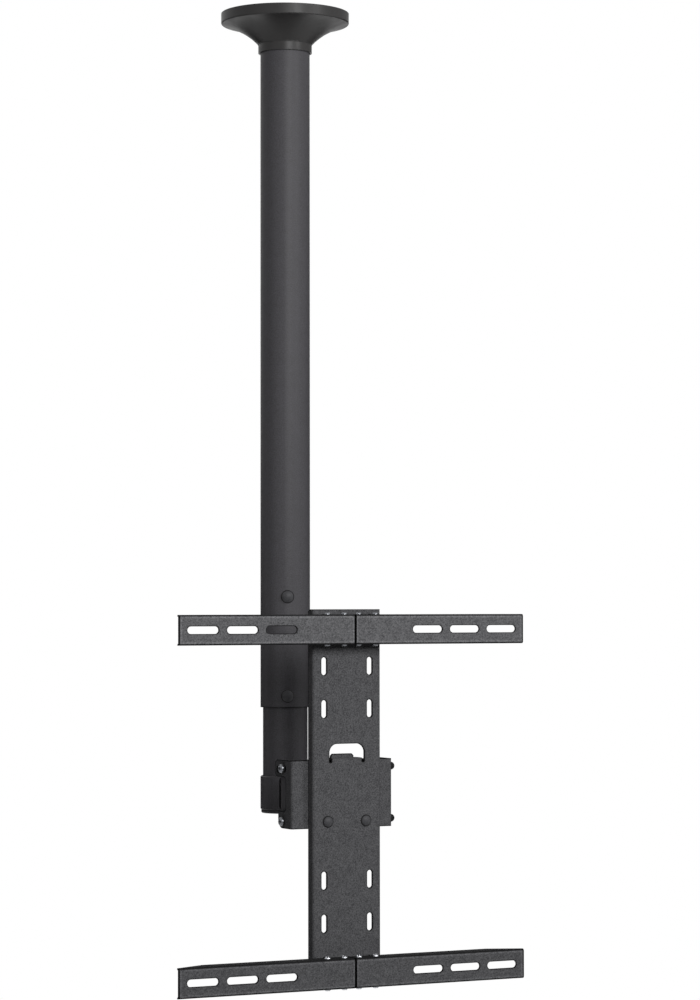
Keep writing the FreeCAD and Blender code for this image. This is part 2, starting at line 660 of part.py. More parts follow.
def add_collar():
    """Chamfered swivel collar round the inner tube's end, its lock screw's boss at the back."""
    body = new_body("swivel_collar", ("0", "0", COLLAR_END))
    section = new_sketch(body, "XY", "Section")
    draw_circle(section, "0", "0", "CollarRadius")
    pad(body, section, "CollarHeight")
    ends = [name for level in ("0", "CollarHeight")
            for name in circles_at(body.Tip.Shape, "CollarRadius", level)]
    dress_edges(body, "Chamfer", "Chamfers", ends, "Size", "CollarChamfer")
    boss = new_sketch(body, "XZ", "Boss")
    draw_circle(boss, "0", "CollarHeight / 2", "SwivelBossRadius")
    pad(body, boss, "CollarRadius + SwivelBossReach", "BossPad", backwards=True)
    bore = new_sketch(body, "XY", "Bore")
    draw_circle(bore, "0", "0", "InnerTubeRadius + RunningFit")
    pocket(body, bore, "BoreCut")
    thread = new_sketch(body, "XZ", "Thread")
    draw_circle(thread, "0", "CollarHeight / 2", "SwivelScrewRadius + ThreadFit")
    pocket(body, thread, "ThreadCut", "CollarRadius + SwivelBossReach")
    screw = new_body("swivel_screw",
                     ("0", "CollarRadius + SwivelBossReach + NutCollar", COLLAR_MIDDLE), TO_BACK)
    profile = new_sketch(screw, "XZ", "Profile")
    tip = "-(CollarRadius + SwivelBossReach + NutCollar - InnerTubeRadius - RunningFit)"
    draw_outline(profile, [
        ("0", tip),
        ("SwivelScrewRadius - 0.5", tip),
        ("SwivelScrewRadius", "%s + 0.5" % tip),
        ("SwivelScrewRadius", "0"),
        ("0", "0"),
    ])
    revolve(screw, profile)
    head = new_sketch(screw, "XY", "Head")
    draw_hexagon(head, "NutRadius")
    pad(screw, head, "NutHeight", "HeadPad")


def add_neck():
    """Rectangular tube from the collar to the inner bracket, coped round the collar."""
    body = new_body("neck", ("0", "0", COLLAR_MIDDLE))
    section = new_sketch(body, "XZ", "Section")
    draw_rectangle(section, "-NeckWidth / 2", "NeckWidth / 2", "-NeckHeight / 2", "NeckHeight / 2")
    pad(body, section, "NeckReach")
    round_edges(body, "Corners", "NeckWall", "y", "xz", x="NeckWidth / 2", z="NeckHeight / 2")
    hollow = new_sketch(body, "XZ", "Hollow")
    inside = "(NeckWidth / 2 - NeckWall)"
    under = "(NeckHeight / 2 - NeckWall)"
    draw_rectangle(hollow, "-" + inside, inside, "-" + under, under)
    pocket(body, hollow, "HollowCut")
    cope = new_sketch(body, "XY", "Cope")
    draw_circle(cope, "0", "0", "CollarRadius + ThreadFit")
    pocket(body, cope, "CopeCut")


def add_inner_bracket():
    """U of thick sheet on the neck: its cheeks carry the two tilt bolts."""
    body = new_body("inner_bracket", ("0", "-" + PIVOT_FRONT, PIVOT_LEVEL))
    half = "(BracketWidth / 2 - Sheet - RunningFit - FrictionWasher)"
    bottom = "PivotDrop - InnerBracketHeight / 2"
    top = "PivotDrop + InnerBracketHeight / 2"
    plan = new_sketch(body, "XY", "Plan", bottom)
    draw_rectangle(plan, "-" + half, half, "BoltReach - CheekDepth", "BoltReach")
    pad(body, plan, "InnerBracketHeight")
    round_edges(body, "Bend", "BendRadius + InnerSheet", "z", "x", x=half, y="BoltReach")
    inside = "(%s - InnerSheet)" % half
    hollow = new_sketch(body, "XY", "Hollow", bottom)
    draw_rectangle(hollow, "-" + inside, inside, "BoltReach - CheekDepth - 1", "BoltReach - InnerSheet")
    pocket(body, hollow, "HollowCut", "InnerBracketHeight", backwards=True)
    round_edges(body, "InnerBend", "BendRadius", "z", "x", x=inside, y="BoltReach - InnerSheet")
    round_edges(body, "LowerCorners", "EarRound", "x", "", y="BoltReach - CheekDepth", z=bottom)
    round_edges(body, "UpperCorners", "EarRound", "x", "", y="BoltReach - CheekDepth", z=top)
    drilled = new_sketch(body, "YZ", "Holes")
    draw_circle(drilled, "0", "0", "BoltHoleRadius")
    draw_circle(drilled, "0", "PivotDrop + LockRise", "BoltHoleRadius")
    pocket(body, drilled, "HoleCut")


def add_tilt_bracket():
    """Outer U of the head, with rounded ears, arc slots for the tilt lock and a raised tab."""
    body = new_body("tilt_bracket", ("0", "-" + PIVOT_FRONT, PIVOT_LEVEL))
    bottom = "PivotDrop - BracketHeight / 2"
    top = "PivotDrop + BracketHeight / 2"
    face = "-BracketFront"
    waist = "FlangeDepth - BracketFront"
    upper = "UpperEarDepth - BracketFront"
    lower = "LowerEarDepth - BracketFront"
    side = new_sketch(body, "YZ", "Side")
    draw_outline(side, [
        (face, bottom),
        ("%s - EarRound * 1.4" % lower, bottom, "EarRound * 1.4", LEFT_TURN),
        (lower, "%s + EarRound * 1.4" % bottom),
        (lower, "%s + EarHeight - EarRound / 2" % bottom, "EarRound / 2", LEFT_TURN),
        ("%s - EarRound / 2" % lower, "%s + EarHeight" % bottom),
        ("%s + EarRound / 2" % waist, "%s + EarHeight" % bottom, "EarRound / 2", RIGHT_TURN),
        (waist, "%s + EarHeight + EarRound / 2" % bottom),
        (waist, "%s - EarHeight - EarRound / 2" % top, "EarRound / 2", RIGHT_TURN),
        ("%s + EarRound / 2" % waist, "%s - EarHeight" % top),
        ("%s - EarRound" % upper, "%s - EarHeight" % top, "EarRound", LEFT_TURN),
        (upper, "%s - EarHeight + EarRound" % top),
        (upper, "%s - EarRound" % top, "EarRound", LEFT_TURN),
        ("%s - EarRound" % upper, top),
        (face, top),
    ])
    pad(body, side, "BracketWidth", both_ways=True)
    round_edges(body, "Bend", "BendRadius + Sheet", "z", "x", x="BracketWidth / 2", y=face)
    inside = "(BracketWidth / 2 - Sheet)"
    hollow = new_sketch(body, "XY", "Hollow", "%s - 1" % bottom)
    draw_rectangle(hollow, "-" + inside, inside, "%s + Sheet" % face, "%s + 1" % upper)
    pocket(body, hollow, "HollowCut", "BracketHeight + 2", backwards=True)
    round_edges(body, "InnerBend", "BendRadius", "z", "x", x=inside, y="%s + Sheet" % face)
    tab = new_sketch(body, "XZ", "Tab", "BracketFront")
    half = "TabWidth / 2"
    slope = "TabHeight / 3"
    draw_outline(tab, [
        ("-%s" % half, "%s - 1" % top),
        (half, "%s - 1" % top),
        (half, "%s + TabHeight - %s" % (top, slope)),
        ("%s - %s" % (half, slope), "%s + TabHeight" % top),
        ("-%s + %s" % (half, slope), "%s + TabHeight" % top),
        ("-%s" % half, "%s + TabHeight - %s" % (top, slope)),
    ])
    pad(body, tab, "Sheet", "TabPad", backwards=True)
    cut_arc_slots(body)
    drilled = new_sketch(body, "XZ", "Holes")
    for across in ("PlateBoltSpread", "-PlateBoltSpread"):
        draw_circle(drilled, across, "PivotDrop - PlateBoltDrop", "BoltHoleRadius")
    pocket(body, drilled, "HoleCut")


def cut_arc_slots(body):
    """Pivot hole and arc slot of both ears; the body's origin lies on the pivot's axis."""
    radius = "(PivotDrop + LockRise)"
    pivot = new_sketch(body, "YZ", "Pivot")
    draw_circle(pivot, "0", "0", "BoltHoleRadius")
    pocket(body, pivot, "PivotCut")
    ends = new_sketch(body, "YZ", "ArcEnds")
    for across, up in (
        ("-%s * sin(TiltUp)" % radius, "%s * cos(TiltUp)" % radius),
        ("%s * sin(TiltDown)" % radius, "%s * cos(TiltDown)" % radius),
    ):
        draw_circle(ends, across, up, "ArcSlotWidth / 2")
    pocket(body, ends, "ArcEndCut")
    band = new_sketch(body, "XZ", "ArcBand")
    lean = (amount("TiltDown") - amount("TiltUp")) / 2
    band.AttachmentOffset = FreeCAD.Placement(VECTOR(0, 0, 0), ROTATION(VECTOR(1, 0, 0), -lean))
    draw_rectangle(band, "-BracketWidth", "BracketWidth",
                   "%s - ArcSlotWidth / 2" % radius, "%s + ArcSlotWidth / 2" % radius)
    sweep = add_feature(body, "Groove", "ArcCut", band)
    sweep.ReferenceAxis = (band, ["H_Axis"])
    sweep.Midplane = True
    sweep.setExpression("Angle", tied("TiltUp + TiltDown"))
    finish(sweep, -1)


def add_plate():
    """Upright channel: slots for the arms, and a flap bent out of its window over the tab."""
    body = new_body("upright_plate", ("0", "-" + PLATE_FACE, HEAD_MIDDLE))
    half = "PlateWidth / 2"
    rise = "PlateHeight / 2"
    side = new_sketch(body, "YZ", "Side")
    draw_outline(side, [
        ("0", "-%s" % rise),
        ("PlateDepth - PlateChamfer", "-%s" % rise),
        ("PlateDepth", "-%s + PlateChamfer / 2" % rise),
        ("PlateDepth", "%s - PlateChamfer / 2" % rise),
        ("PlateDepth - PlateChamfer", rise),
        ("0", rise),
    ])
    pad(body, side, "PlateWidth", both_ways=True)
    round_edges(body, "Bend", "BendRadius + Sheet", "z", "x", x=half, y="0")
    inside = "(%s - Sheet)" % half
    hollow = new_sketch(body, "XY", "Hollow", "-%s" % rise)
    draw_rectangle(hollow, "-" + inside, inside, "Sheet", "PlateDepth + 1")
    pocket(body, hollow, "HollowCut", "PlateHeight", backwards=True)
    round_edges(body, "InnerBend", "BendRadius", "z", "x", x=inside, y="Sheet")
    slots = new_sketch(body, "XZ", "Slots")
    for sign in ("", "-"):
        for step in range(3):
            for across in ("SlotSpread", "-SlotSpread"):
                level = "%s(SlotFirst + SlotPitch * %d)" % (sign, step)
                draw_slot(slots, across, level, "SlotLength", "SlotWidth", True)
    pocket(body, slots, "SlotCut")
    add_window(body)
    drilled = new_sketch(body, "XZ", "Holes")
    for across in ("PlateBoltSpread", "-PlateBoltSpread"):
        draw_circle(drilled, across, "-PlateBoltDrop", "BoltHoleRadius")
    pocket(body, drilled, "HoleCut")


def add_window(body):
    """Window of the upright plate, with the flap that is bent back out of it."""
    sill = "(BracketHeight / 2 + Sheet)"
    head = "(%s + WindowHeight)" % sill
    edge = "WindowWidth / 2"
    flap_edge = "FlapWidth / 2"
    foot = "(%s - Sheet - ReliefDepth)" % sill
    window = new_sketch(body, "XZ", "Window")
    draw_outline(window, [
        ("-%s" % edge, foot),
        ("-%s" % flap_edge, foot),
        ("-%s" % flap_edge, sill),
        (flap_edge, sill),
        (flap_edge, foot),
        (edge, foot),
        (edge, "%s - WindowCorner" % head, "WindowCorner", LEFT_TURN),
        ("%s - WindowCorner" % edge, head),
        ("-%s + WindowCorner" % edge, head, "WindowCorner", LEFT_TURN),
        ("-%s" % edge, "%s - WindowCorner" % head),
    ])
    pocket(body, window, "WindowCut")
    flap = new_sketch(body, "XY", "Flap", "BracketHeight / 2")
    draw_rectangle(flap, "-%s" % flap_edge, flap_edge, "Sheet / 2", "FlapLength")
    pad(body, flap, "Sheet", "FlapPad")
    round_edges(body, "FlapBend", "BendRadius + Sheet / 2", "x", "", y="0", z=sill)
    slit = new_sketch(body, "XY", "Slit", "BracketHeight / 2")
    draw_rectangle(slit, "-(TabWidth / 2 + FlapFit)", "TabWidth / 2 + FlapFit",
                   "PlateDepth - FlapFit", "PlateDepth + Sheet + FlapFit")
    pocket(body, slit, "SlitCut", "Sheet", backwards=True)


def add_plate_bolts():
    """Two domed bolts, with distance sleeves, that fasten the plate to the tilt bracket."""
    grip = "PlateDepth + Sheet + NutHeight + NutCollar + BoltTail"
    for name, across in (("left", "-PlateBoltSpread"), ("right", "PlateBoltSpread")):
        add_dome_bolt("plate_bolt_" + name, (across, "-" + PLATE_FACE, PLATE_BOLT_LEVEL), TO_FRONT,
                      "PlateDomeRadius", "PlateDomeHeight", grip)
        add_washer("plate_sleeve_" + name, (across, "-" + BRACKET_FACE, PLATE_BOLT_LEVEL), TO_FRONT,
                   "SleeveRadius", "(PlateDepth - Sheet)")
        add_nut("plate_nut_" + name,
                (across, "-(%s - Sheet)" % BRACKET_FACE, PLATE_BOLT_LEVEL), TO_BACK)


def add_tilt_bolts():
    """Long bolts across the head: the lower one is the pivot, the upper one locks the tilt."""
    outside = "(BracketWidth / 2 + RunningFit)"
    seat = "(%s + WasherThickness)" % outside
    length = "2 * %s + CapNutHeight - CapNutCrown - 1" % seat
    for name, level in (("pivot", PIVOT_LEVEL), ("lock", LOCK_LEVEL)):
        depth = "-" + PIVOT_FRONT
        add_pan_screw(name + "_bolt", ("-" + seat, depth, level), TO_LEFT,
                      ("PanHeadRadius", "PanHeadHeight", "BoltRadius", length))
        add_washer(name + "_washer_left", ("-" + outside, depth, level), TO_LEFT)
        add_washer(name + "_washer_right", (outside, depth, level), TO_RIGHT)
        add_cap_nut(name + "_cap_nut", (seat, depth, level), TO_RIGHT)
        cheek = "(BracketWidth / 2 - Sheet - RunningFit - FrictionWasher)"
        add_washer(name + "_spacer_left", ("-" + cheek, depth, level), TO_LEFT,
                   "FrictionWasherRadius", "FrictionWasher")
        add_washer(name + "_spacer_right", (cheek, depth, level), TO_RIGHT,
                   "FrictionWasherRadius", "FrictionWasher")


def add_arm_half(name, side, level):
    """Half of an arm: a channel with three long slots and flanges that taper to its end."""
    sign = "" if side == "right" else "-"
    body = new_body("%s_arm_%s" % (name, side), ("0", "-" + ARM_FACE, level))
    plan = new_sketch(body, "XY", "Plan")
    corners = [
        ("%s(ArmSplit / 2)" % sign, "0"),
        ("%sArmHalfLength" % sign, "0"),
        ("%sArmHalfLength" % sign, "ArmTipDepth"),
        ("%s(ArmHalfLength - ArmTaper)" % sign, "ArmDepth"),
        ("%s(ArmSplit / 2)" % sign, "ArmDepth"),
    ]
    draw_outline(plan, corners)
    pad(body, plan, "ArmHeight", both_ways=True)
    half = "ArmHeight / 2"
    round_edges(body, "Bend", "BendRadius + ArmSheet", "x", "z", y="0", z=half)
    inside = "(%s - ArmSheet)" % half
    hollow = new_sketch(body, "YZ", "Hollow")
    draw_rectangle(hollow, "ArmSheet", "ArmDepth + 1", "-" + inside, inside)
    pocket(body, hollow, "HollowCut")
    round_edges(body, "InnerBend", "BendRadius", "x", "z", y="ArmSheet", z=inside)
    slots = new_sketch(body, "XZ", "Slots")
    for step in range(3):
        across = "%s(ArmSlotFirst + ArmSlotPitch * %d)" % (sign, step)
        draw_slot(slots, across, "0", "ArmSlotLength", "ArmSlotWidth", False)
    pocket(body, slots, "SlotCut")
    drilled = new_sketch(body, "XY", "Holes")
    for step in range(2):
        across = "%s(ArmScrewFirst + ArmScrewPitch * %d)" % (sign, step)
        draw_circle(drilled, across, "ArmScrewDepth", "ArmScrewRadius + RunningFit")
    pocket(body, drilled, "HoleCut")


def add_arm_holder(name, level):
    """Short channel on the plate's front that both halves of an arm are screwed to."""
    body = new_body(name + "_holder", ("0", "-" + PLATE_FACE, level))
    half = "(ArmHeight / 2 - ArmSheet)"
    section = new_sketch(body, "YZ", "Section")
    draw_rectangle(section, "-HolderDepth", "0", "-" + half, half)
    pad(body, section, "HolderWidth", both_ways=True)
    round_edges(body, "Bend", "BendRadius + Sheet", "x", "z", y="0", z=half)
    inside = "(%s - Sheet)" % half
    hollow = new_sketch(body, "YZ", "Hollow")
    draw_rectangle(hollow, "-HolderDepth - 1", "-Sheet", "-" + inside, inside)
    pocket(body, hollow, "HollowCut")
    round_edges(body, "InnerBend", "BendRadius", "x", "z", y="-Sheet", z=inside)
    drilled = new_sketch(body, "XZ", "BoltHoles")
    for across in ("SlotSpread", "-SlotSpread"):
        draw_circle(drilled, across, "0", "BoltHoleRadius")
    pocket(body, drilled, "BoltHoleCut")
    tapped = new_sketch(body, "XY", "ScrewHoles")
    for across in screw_offsets():
        draw_circle(tapped, across, "ArmScrewDepth - ArmDepth - ArmGap", "ArmScrewRadius + ThreadFit")
    pocket(body, tapped, "ScrewHoleCut")


def screw_offsets():
    """Places of the four arm screws along an arm."""
    steps = ("ArmScrewFirst", "ArmScrewFirst + ArmScrewPitch")
    return ["-(%s)" % step for step in reversed(steps)] + list(steps)


def add_arm(name, sign):
    """One arm with its holder, two bolts through the plate's slots and eight screws."""
    level = "(%s %s ArmSpacing / 2 - ArmDrop)" % (HEAD_MIDDLE, sign)
    add_arm_holder(name, level)
    for side in ("left", "right"):
        add_arm_half(name, side, level)
    grip = "2 * Sheet + WasherThickness + NutHeight + NutCollar"
    back = "(%s - Sheet)" % PLATE_FACE
    for side, across in (("left", "-SlotSpread"), ("right", "SlotSpread")):
        add_dome_bolt("%s_holder_bolt_%s" % (name, side),
                      (across, "-(%s + Sheet)" % PLATE_FACE, level), TO_FRONT,
                      "PlateDomeRadius", "PlateDomeHeight", grip)
    add_group(name + "_holder_nuts", [
        (add_washer, (across, "-(%s - ArmGap)" % back, level), TO_BACK)
        for across in ("-SlotSpread", "SlotSpread")
    ] + [
        (add_nut, (across, "-(%s - ArmGap - WasherThickness)" % back, level), TO_BACK)
        for across in ("-SlotSpread", "SlotSpread")
    ])
    screw = ("ArmScrewHeadRadius", "ArmScrewHeadHeight", "ArmScrewRadius", "ArmScrewLength")
    depth = "-(%s - ArmScrewDepth)" % ARM_FACE

    def arm_screw(label, place, turn):
        """One arm screw."""
        add_pan_screw(label, place, turn, screw)

    add_group(name + "_arm_screws", [
        (arm_screw, (across, depth, "%s %s ArmHeight / 2" % (level, direction)), turn)
        for direction, turn in (("+", TO_TOP), ("-", TO_BOTTOM))
        for across in screw_offsets()
    ])


def add_group(label, members):
    """Like fasteners as separate solids of one sub-part; each member is (maker, place, turn)."""
    start = len(SUB_PARTS)
    for number, (maker, place, turn) in enumerate(members, start=1):
        maker("%s_%d" % (label, number), place, turn)
    made = SUB_PARTS[start:]
    del SUB_PARTS[start:]
    group = DOCUMENT.addObject("Part::Compound", label)
    group.Label = label
    group.Links = made
    SUB_PARTS.append(group)


def build():
    """Makes every sub-part, from the ceiling down."""
    add_ceiling_plate()
    add_weld()
    add_outer_tube()
    add_canopy()
    add_through_bolts()
    add_inner_tube()
    add_tube_end()
    add_collar()
    add_neck()
    add_inner_bracket()
    add_tilt_bolts()
    add_tilt_bracket()
    add_plate()
    add_plate_bolts()
    add_arm("upper", "+")
    add_arm("lower", "-")


def check():
    """Stops if an object of the document failed or a sub-part has no valid solid."""
    DOCUMENT.recompute()
    failed = [item.Name for item in DOCUMENT.Objects if {"Invalid", "Error"} & set(item.State)]
    for body in SUB_PARTS:
        if body.Shape.isNull() or not body.Shape.isValid() or not body.Shape.Solids:
            failed.append(body.Label)
    if failed:
        raise ValueError("failed: " + ", ".join(failed))


def export():
    """Writes each sub-part as a file named after its label."""
    os.makedirs("parts", exist_ok=True)
    for body in SUB_PARTS:
        body.Shape.exportStep(os.path.join("parts", body.Label + ".step"))


build()
check()
export()
for sub_part in SUB_PARTS:
    box = sub_part.Shape.BoundBox
    print("%-24s solids %d volume %9.0f  x %7.1f %7.1f  y %7.1f %7.1f  z %8.1f %8.1f" % (
        sub_part.Label, len(sub_part.Shape.Solids), sub_part.Shape.Volume,
        box.XMin, box.XMax, box.YMin, box.YMax, box.ZMin, box.ZMax))
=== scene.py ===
"""Looks of a ceiling mount for a television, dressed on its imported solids.

Metres, +Z up. The ceiling is at zero, the pole hangs along the Z axis, and the screen's side faces -Y.
"""
import json
import logging
from collections.abc import Callable, Iterable, Sequence
from dataclasses import dataclass, replace
from enum import Enum
from math import cos, hypot, pi, radians, sin, sqrt, tan

import bmesh
import bpy
from bpy.types import Material, Node, NodeSocket, NodeTree, Object, World
from mathutils import Matrix, Vector


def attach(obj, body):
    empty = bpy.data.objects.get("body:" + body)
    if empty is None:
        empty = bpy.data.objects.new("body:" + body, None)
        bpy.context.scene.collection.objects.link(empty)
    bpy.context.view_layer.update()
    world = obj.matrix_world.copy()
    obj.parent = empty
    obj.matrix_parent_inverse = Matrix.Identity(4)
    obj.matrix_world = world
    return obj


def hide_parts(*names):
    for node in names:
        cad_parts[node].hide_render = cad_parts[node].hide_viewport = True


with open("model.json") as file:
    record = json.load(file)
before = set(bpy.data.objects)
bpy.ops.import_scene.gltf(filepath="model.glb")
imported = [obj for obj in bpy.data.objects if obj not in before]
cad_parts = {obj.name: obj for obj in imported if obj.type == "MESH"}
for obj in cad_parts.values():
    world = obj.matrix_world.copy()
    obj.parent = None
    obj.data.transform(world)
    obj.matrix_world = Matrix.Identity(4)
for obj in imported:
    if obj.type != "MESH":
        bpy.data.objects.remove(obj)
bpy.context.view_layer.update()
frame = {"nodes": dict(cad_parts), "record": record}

Feeds = dict[str | int, object]
Point = tuple[float, float, float]
Ring = list[Vector]

LOG = logging.getLogger("ceiling_mount")
MM = 0.001
TURN = 2 * pi
WHITE = (1.0, 1.0, 1.0, 1.0)
RIGHT = Vector((1, 0, 0))
BACK = Vector((0, 1, 0))
UP = Vector((0, 0, 1))


class Slot(Enum):
    """Material slots of the record."""

    BRACKET = "bracket_coat"
    TUBE = "tube_coat"
    BOLT = "bolt_coat"
    COVER = "cover_plastic"
    ZINC = "zinc"
    NYLON = "nylon"


class Body(Enum):
    """Bodies of the part that new pieces ride on."""

    CEILING = "ceiling"
    SWIVEL = "swivel"
    HEAD = "head"
    UPPER_ARM = "upper_arm"
    LOWER_ARM = "lower_arm"


# Heights of the arms' middles and half of an arm's height, in millimetres
ARM_LEVELS = {Body.UPPER_ARM: -752.5, Body.LOWER_ARM: -1152.5}
ARM_HALF_HEIGHT = 17.5


# Colour, nodes and objects


def linear(colour: str) -> tuple[float, float, float, float]:
    """Turns an sRGB hex colour to linear.

    Args:
        colour: six hex digits after a hash.

    Returns:
        Red, green, blue and an alpha of one.
    """
    parts = [int(colour[start:start + 2], 16) / 255 for start in (1, 3, 5)]
    red, green, blue = (part / 12.92 if part <= 0.04045 else ((part + 0.055) / 1.055) ** 2.4
                        for part in parts)
    return red, green, blue, 1.0


def empty_tree(owner: Material | World) -> NodeTree:
    """Gives a material or a world a node tree without nodes.

    Args:
        owner: the material or the world.

    Returns:
        The tree.
    """
    owner.use_nodes = True
    owner.node_tree.nodes.clear()
    return owner.node_tree


def add_node(tree: NodeTree, kind: str, settings: dict[str, object] | None = None,
             feeds: Feeds | None = None) -> Node:
    """Adds a node with its settings and links.

    Args:
        tree: the node tree that gets the node.
        kind: Blender's name of the node's type.
        settings: properties of the node.
        feeds: for each input, by name or number, a value or the output socket that feeds it.

    Returns:
        The new node.
    """
    node = tree.nodes.new(kind)
    for name, value in (settings or {}).items():
        setattr(node, name, value)
    for name, value in (feeds or {}).items():
        socket = node.inputs[name]
        if isinstance(value, NodeSocket):
            tree.links.new(value, socket)
        else:
            socket.default_value = value
    return node


def add_object(name: str, data: bpy.types.ID, materials: Iterable[Material] = ()) -> Object:
    """Adds an object to the scene.

    Args:
        name: the object's name.
        data: its mesh, lamp or camera.
        materials: the materials of a mesh, in the order of their numbers.

    Returns:
        The object.
    """
    for material in materials:
        data.materials.append(material)
    piece = bpy.data.objects.new(name, data)
    bpy.context.scene.collection.objects.link(piece)
    return piece


# Finishes


@dataclass(frozen=True)
class ArmFoldPaintedShading:
    """Folds and ends of a slotted arm, seen in its coat; millimetres.

    The coat gets painted shade on a fold, and a painted highlight beside it, where the sheet starts to curve.
    The fold's range gives the shares of its width over which the painted shade fades out.
    """

    level: float
    half_length: float = 226.5
    split: float = 0.7
    fold_width: float = 2.3
    fold_range: tuple[float, float] = (0.5, 1.15)
    fold_painted_shade: float = 0.12
    rim_width: float = 4.8
    rim_painted_highlight: float = 1.55

    def shade(self, tree: NodeTree, place: NodeSocket) -> NodeSocket:
        """Makes the factor by which a fold darkens the coat and its rim lightens it.

        Args:
            tree: the material's node tree.
            place: the socket with the point on the arm.

        Returns:
            The factor's socket.
        """
        # Painted shade on the fold lines, ends and split, and a painted highlight just inside them
        axes = add_node(tree, "ShaderNodeSeparateXYZ", feeds={"Vector": place})
        found: dict[object, NodeSocket] = {"x": axes.outputs["X"], "z": axes.outputs["Z"]}
        for name, operation, first, second in (
            ("across", "ABSOLUTE", "x", 0.0),
            ("above", "SUBTRACT", "z", self.level * MM),
            ("rise", "ABSOLUTE", "above", 0.0),
            ("to_fold", "SUBTRACT", ARM_HALF_HEIGHT * MM, "rise"),
            ("to_end", "SUBTRACT", self.half_length * MM, "across"),
            ("to_split", "SUBTRACT", "across", (self.split - self.fold_width / 2) * MM),
            ("to_edge", "MINIMUM", "to_fold", "to_end"),
            ("inside", "MINIMUM", "to_edge", "to_split"),
        ):
            found[name] = add_node(tree, "ShaderNodeMath", {"operation": operation}, {
                0: found.get(first, first), 1: found.get(second, second)}).outputs[0]
        smooth = {"interpolation_type": "SMOOTHSTEP"}
        start, end = self.fold_range
        fold = add_node(tree, "ShaderNodeMapRange", smooth, {
            "Value": found["inside"], "From Min": self.fold_width * start * MM,
            "From Max": self.fold_width * end * MM, "To Min": self.fold_painted_shade})
        rim = add_node(tree, "ShaderNodeMapRange", smooth, {
            "Value": found["inside"], "From Min": self.fold_width * MM, "From Max": self.rim_width * MM,
            "To Min": self.rim_painted_highlight, "To Max": 1.0})
        return add_node(tree, "ShaderNodeMath", {"operation": "MULTIPLY"}, {
            0: fold.outputs[0], 1: rim.outputs[0]}).outputs[0]


@dataclass(frozen=True)
class Noise:
    """Settings of a noise pattern; the scale counts its waves in the width of a grain."""

    scale: float = 1.0
    detail: float = 2.0
    roughness: float = 0.5
    distortion: float = 0.0


@dataclass(frozen=True)
class Finish:
    """What all finishes share: a pattern of colour and gloss, and a grain with its relief.

    The colours are sRGB. The roughness range is added to the roughness at their dark and light ends.
    """

    name: str
    dark: str
    light: str
    grain_mm: float
    roughness: float
    roughness_range: tuple[float, float] = (0.0, 0.0)
    pattern: Noise = Noise()
    grain: Noise = Noise()
    relief_mm: float = 0.02
    relief_strength: float = 0.2
    round_mm: float = 0.0
    metallic: float = 0.0
    specular: float = 0.5
    ior: float = 1.5

    def make(self) -> Material:
        """Makes the material.

        Returns:
            The material, with one principled shader.
        """
        material = bpy.data.materials.new(self.name)
        tree = empty_tree(material)
        place = add_node(tree, "ShaderNodeTexCoord").outputs["Object"]
        pattern, grain = (add_node(tree, "ShaderNodeTexNoise", feeds={
            "Vector": place, "Scale": noise.scale / (self.grain_mm * MM), "Detail": noise.detail,
            "Roughness": noise.roughness, "Distortion": noise.distortion}).outputs["Fac"]
            for noise in (self.pattern, self.grain))
        shader = add_node(tree, "ShaderNodeBsdfPrincipled", feeds={
            "Metallic": self.metallic, "IOR": self.ior, "Specular IOR Level": self.specular,
            **self.surface(tree, place, pattern, grain)})
        add_node(tree, "ShaderNodeOutputMaterial", feeds={"Surface": shader.outputs["BSDF"]})
        return material

    def surface(self, tree: NodeTree, place: NodeSocket, pattern: NodeSocket, grain: NodeSocket) -> Feeds:
        """Gives the colour, the gloss and the relief.

        Args:
            tree: the material's node tree.
            place: the point on the piece.
            pattern: the noise of the colour and the gloss.
            grain: the noise of the relief.

        Returns:
            What feeds the shader.
        """
        return {"Base Color": self.blend(tree, pattern), "Roughness": self.gloss(tree, pattern),
                "Normal": self.relief(tree, grain)}

    def blend(self, tree: NodeTree, share: NodeSocket) -> NodeSocket:
        """Blends from the dark colour to the light one by a share."""
        return add_node(tree, "ShaderNodeMix", {"data_type": "RGBA"}, {
            "Factor": share, "A": linear(self.dark), "B": linear(self.light)}).outputs["Result"]

    def gloss(self, tree: NodeTree, noise: NodeSocket) -> NodeSocket | float:
        """Spreads the roughness over a noise, nearly all of which is between 0.3 and 0.7.

        Args:
            tree: the material's node tree.
            noise: the noise.

        Returns:
            The roughness, or its socket where it has a range.
        """
        low, high = self.roughness_range
        if low == high:
            return self.roughness
        return add_node(tree, "ShaderNodeMapRange", feeds={
            "Value": noise, "From Min": 0.3, "From Max": 0.7,
            "To Min": self.roughness + low, "To Max": self.roughness + high}).outputs[0]

    def relief(self, tree: NodeTree, height: NodeSocket) -> NodeSocket:
        """Raises the surface by a pattern, over edges that may be rounded.

        Args:
            tree: the material's node tree.
            height: the pattern.

        Returns:
            The socket of the normal.
        """
        feeds: Feeds = {"Strength": self.relief_strength, "Distance": self.relief_mm * MM, "Height": height}
        if self.round_mm:
            edge = add_node(tree, "ShaderNodeBevel", {"samples": 4}, {"Radius": self.round_mm * MM})
            feeds["Normal"] = edge.outputs[0]
        return add_node(tree, "ShaderNodeBump", feeds=feeds).outputs[0]


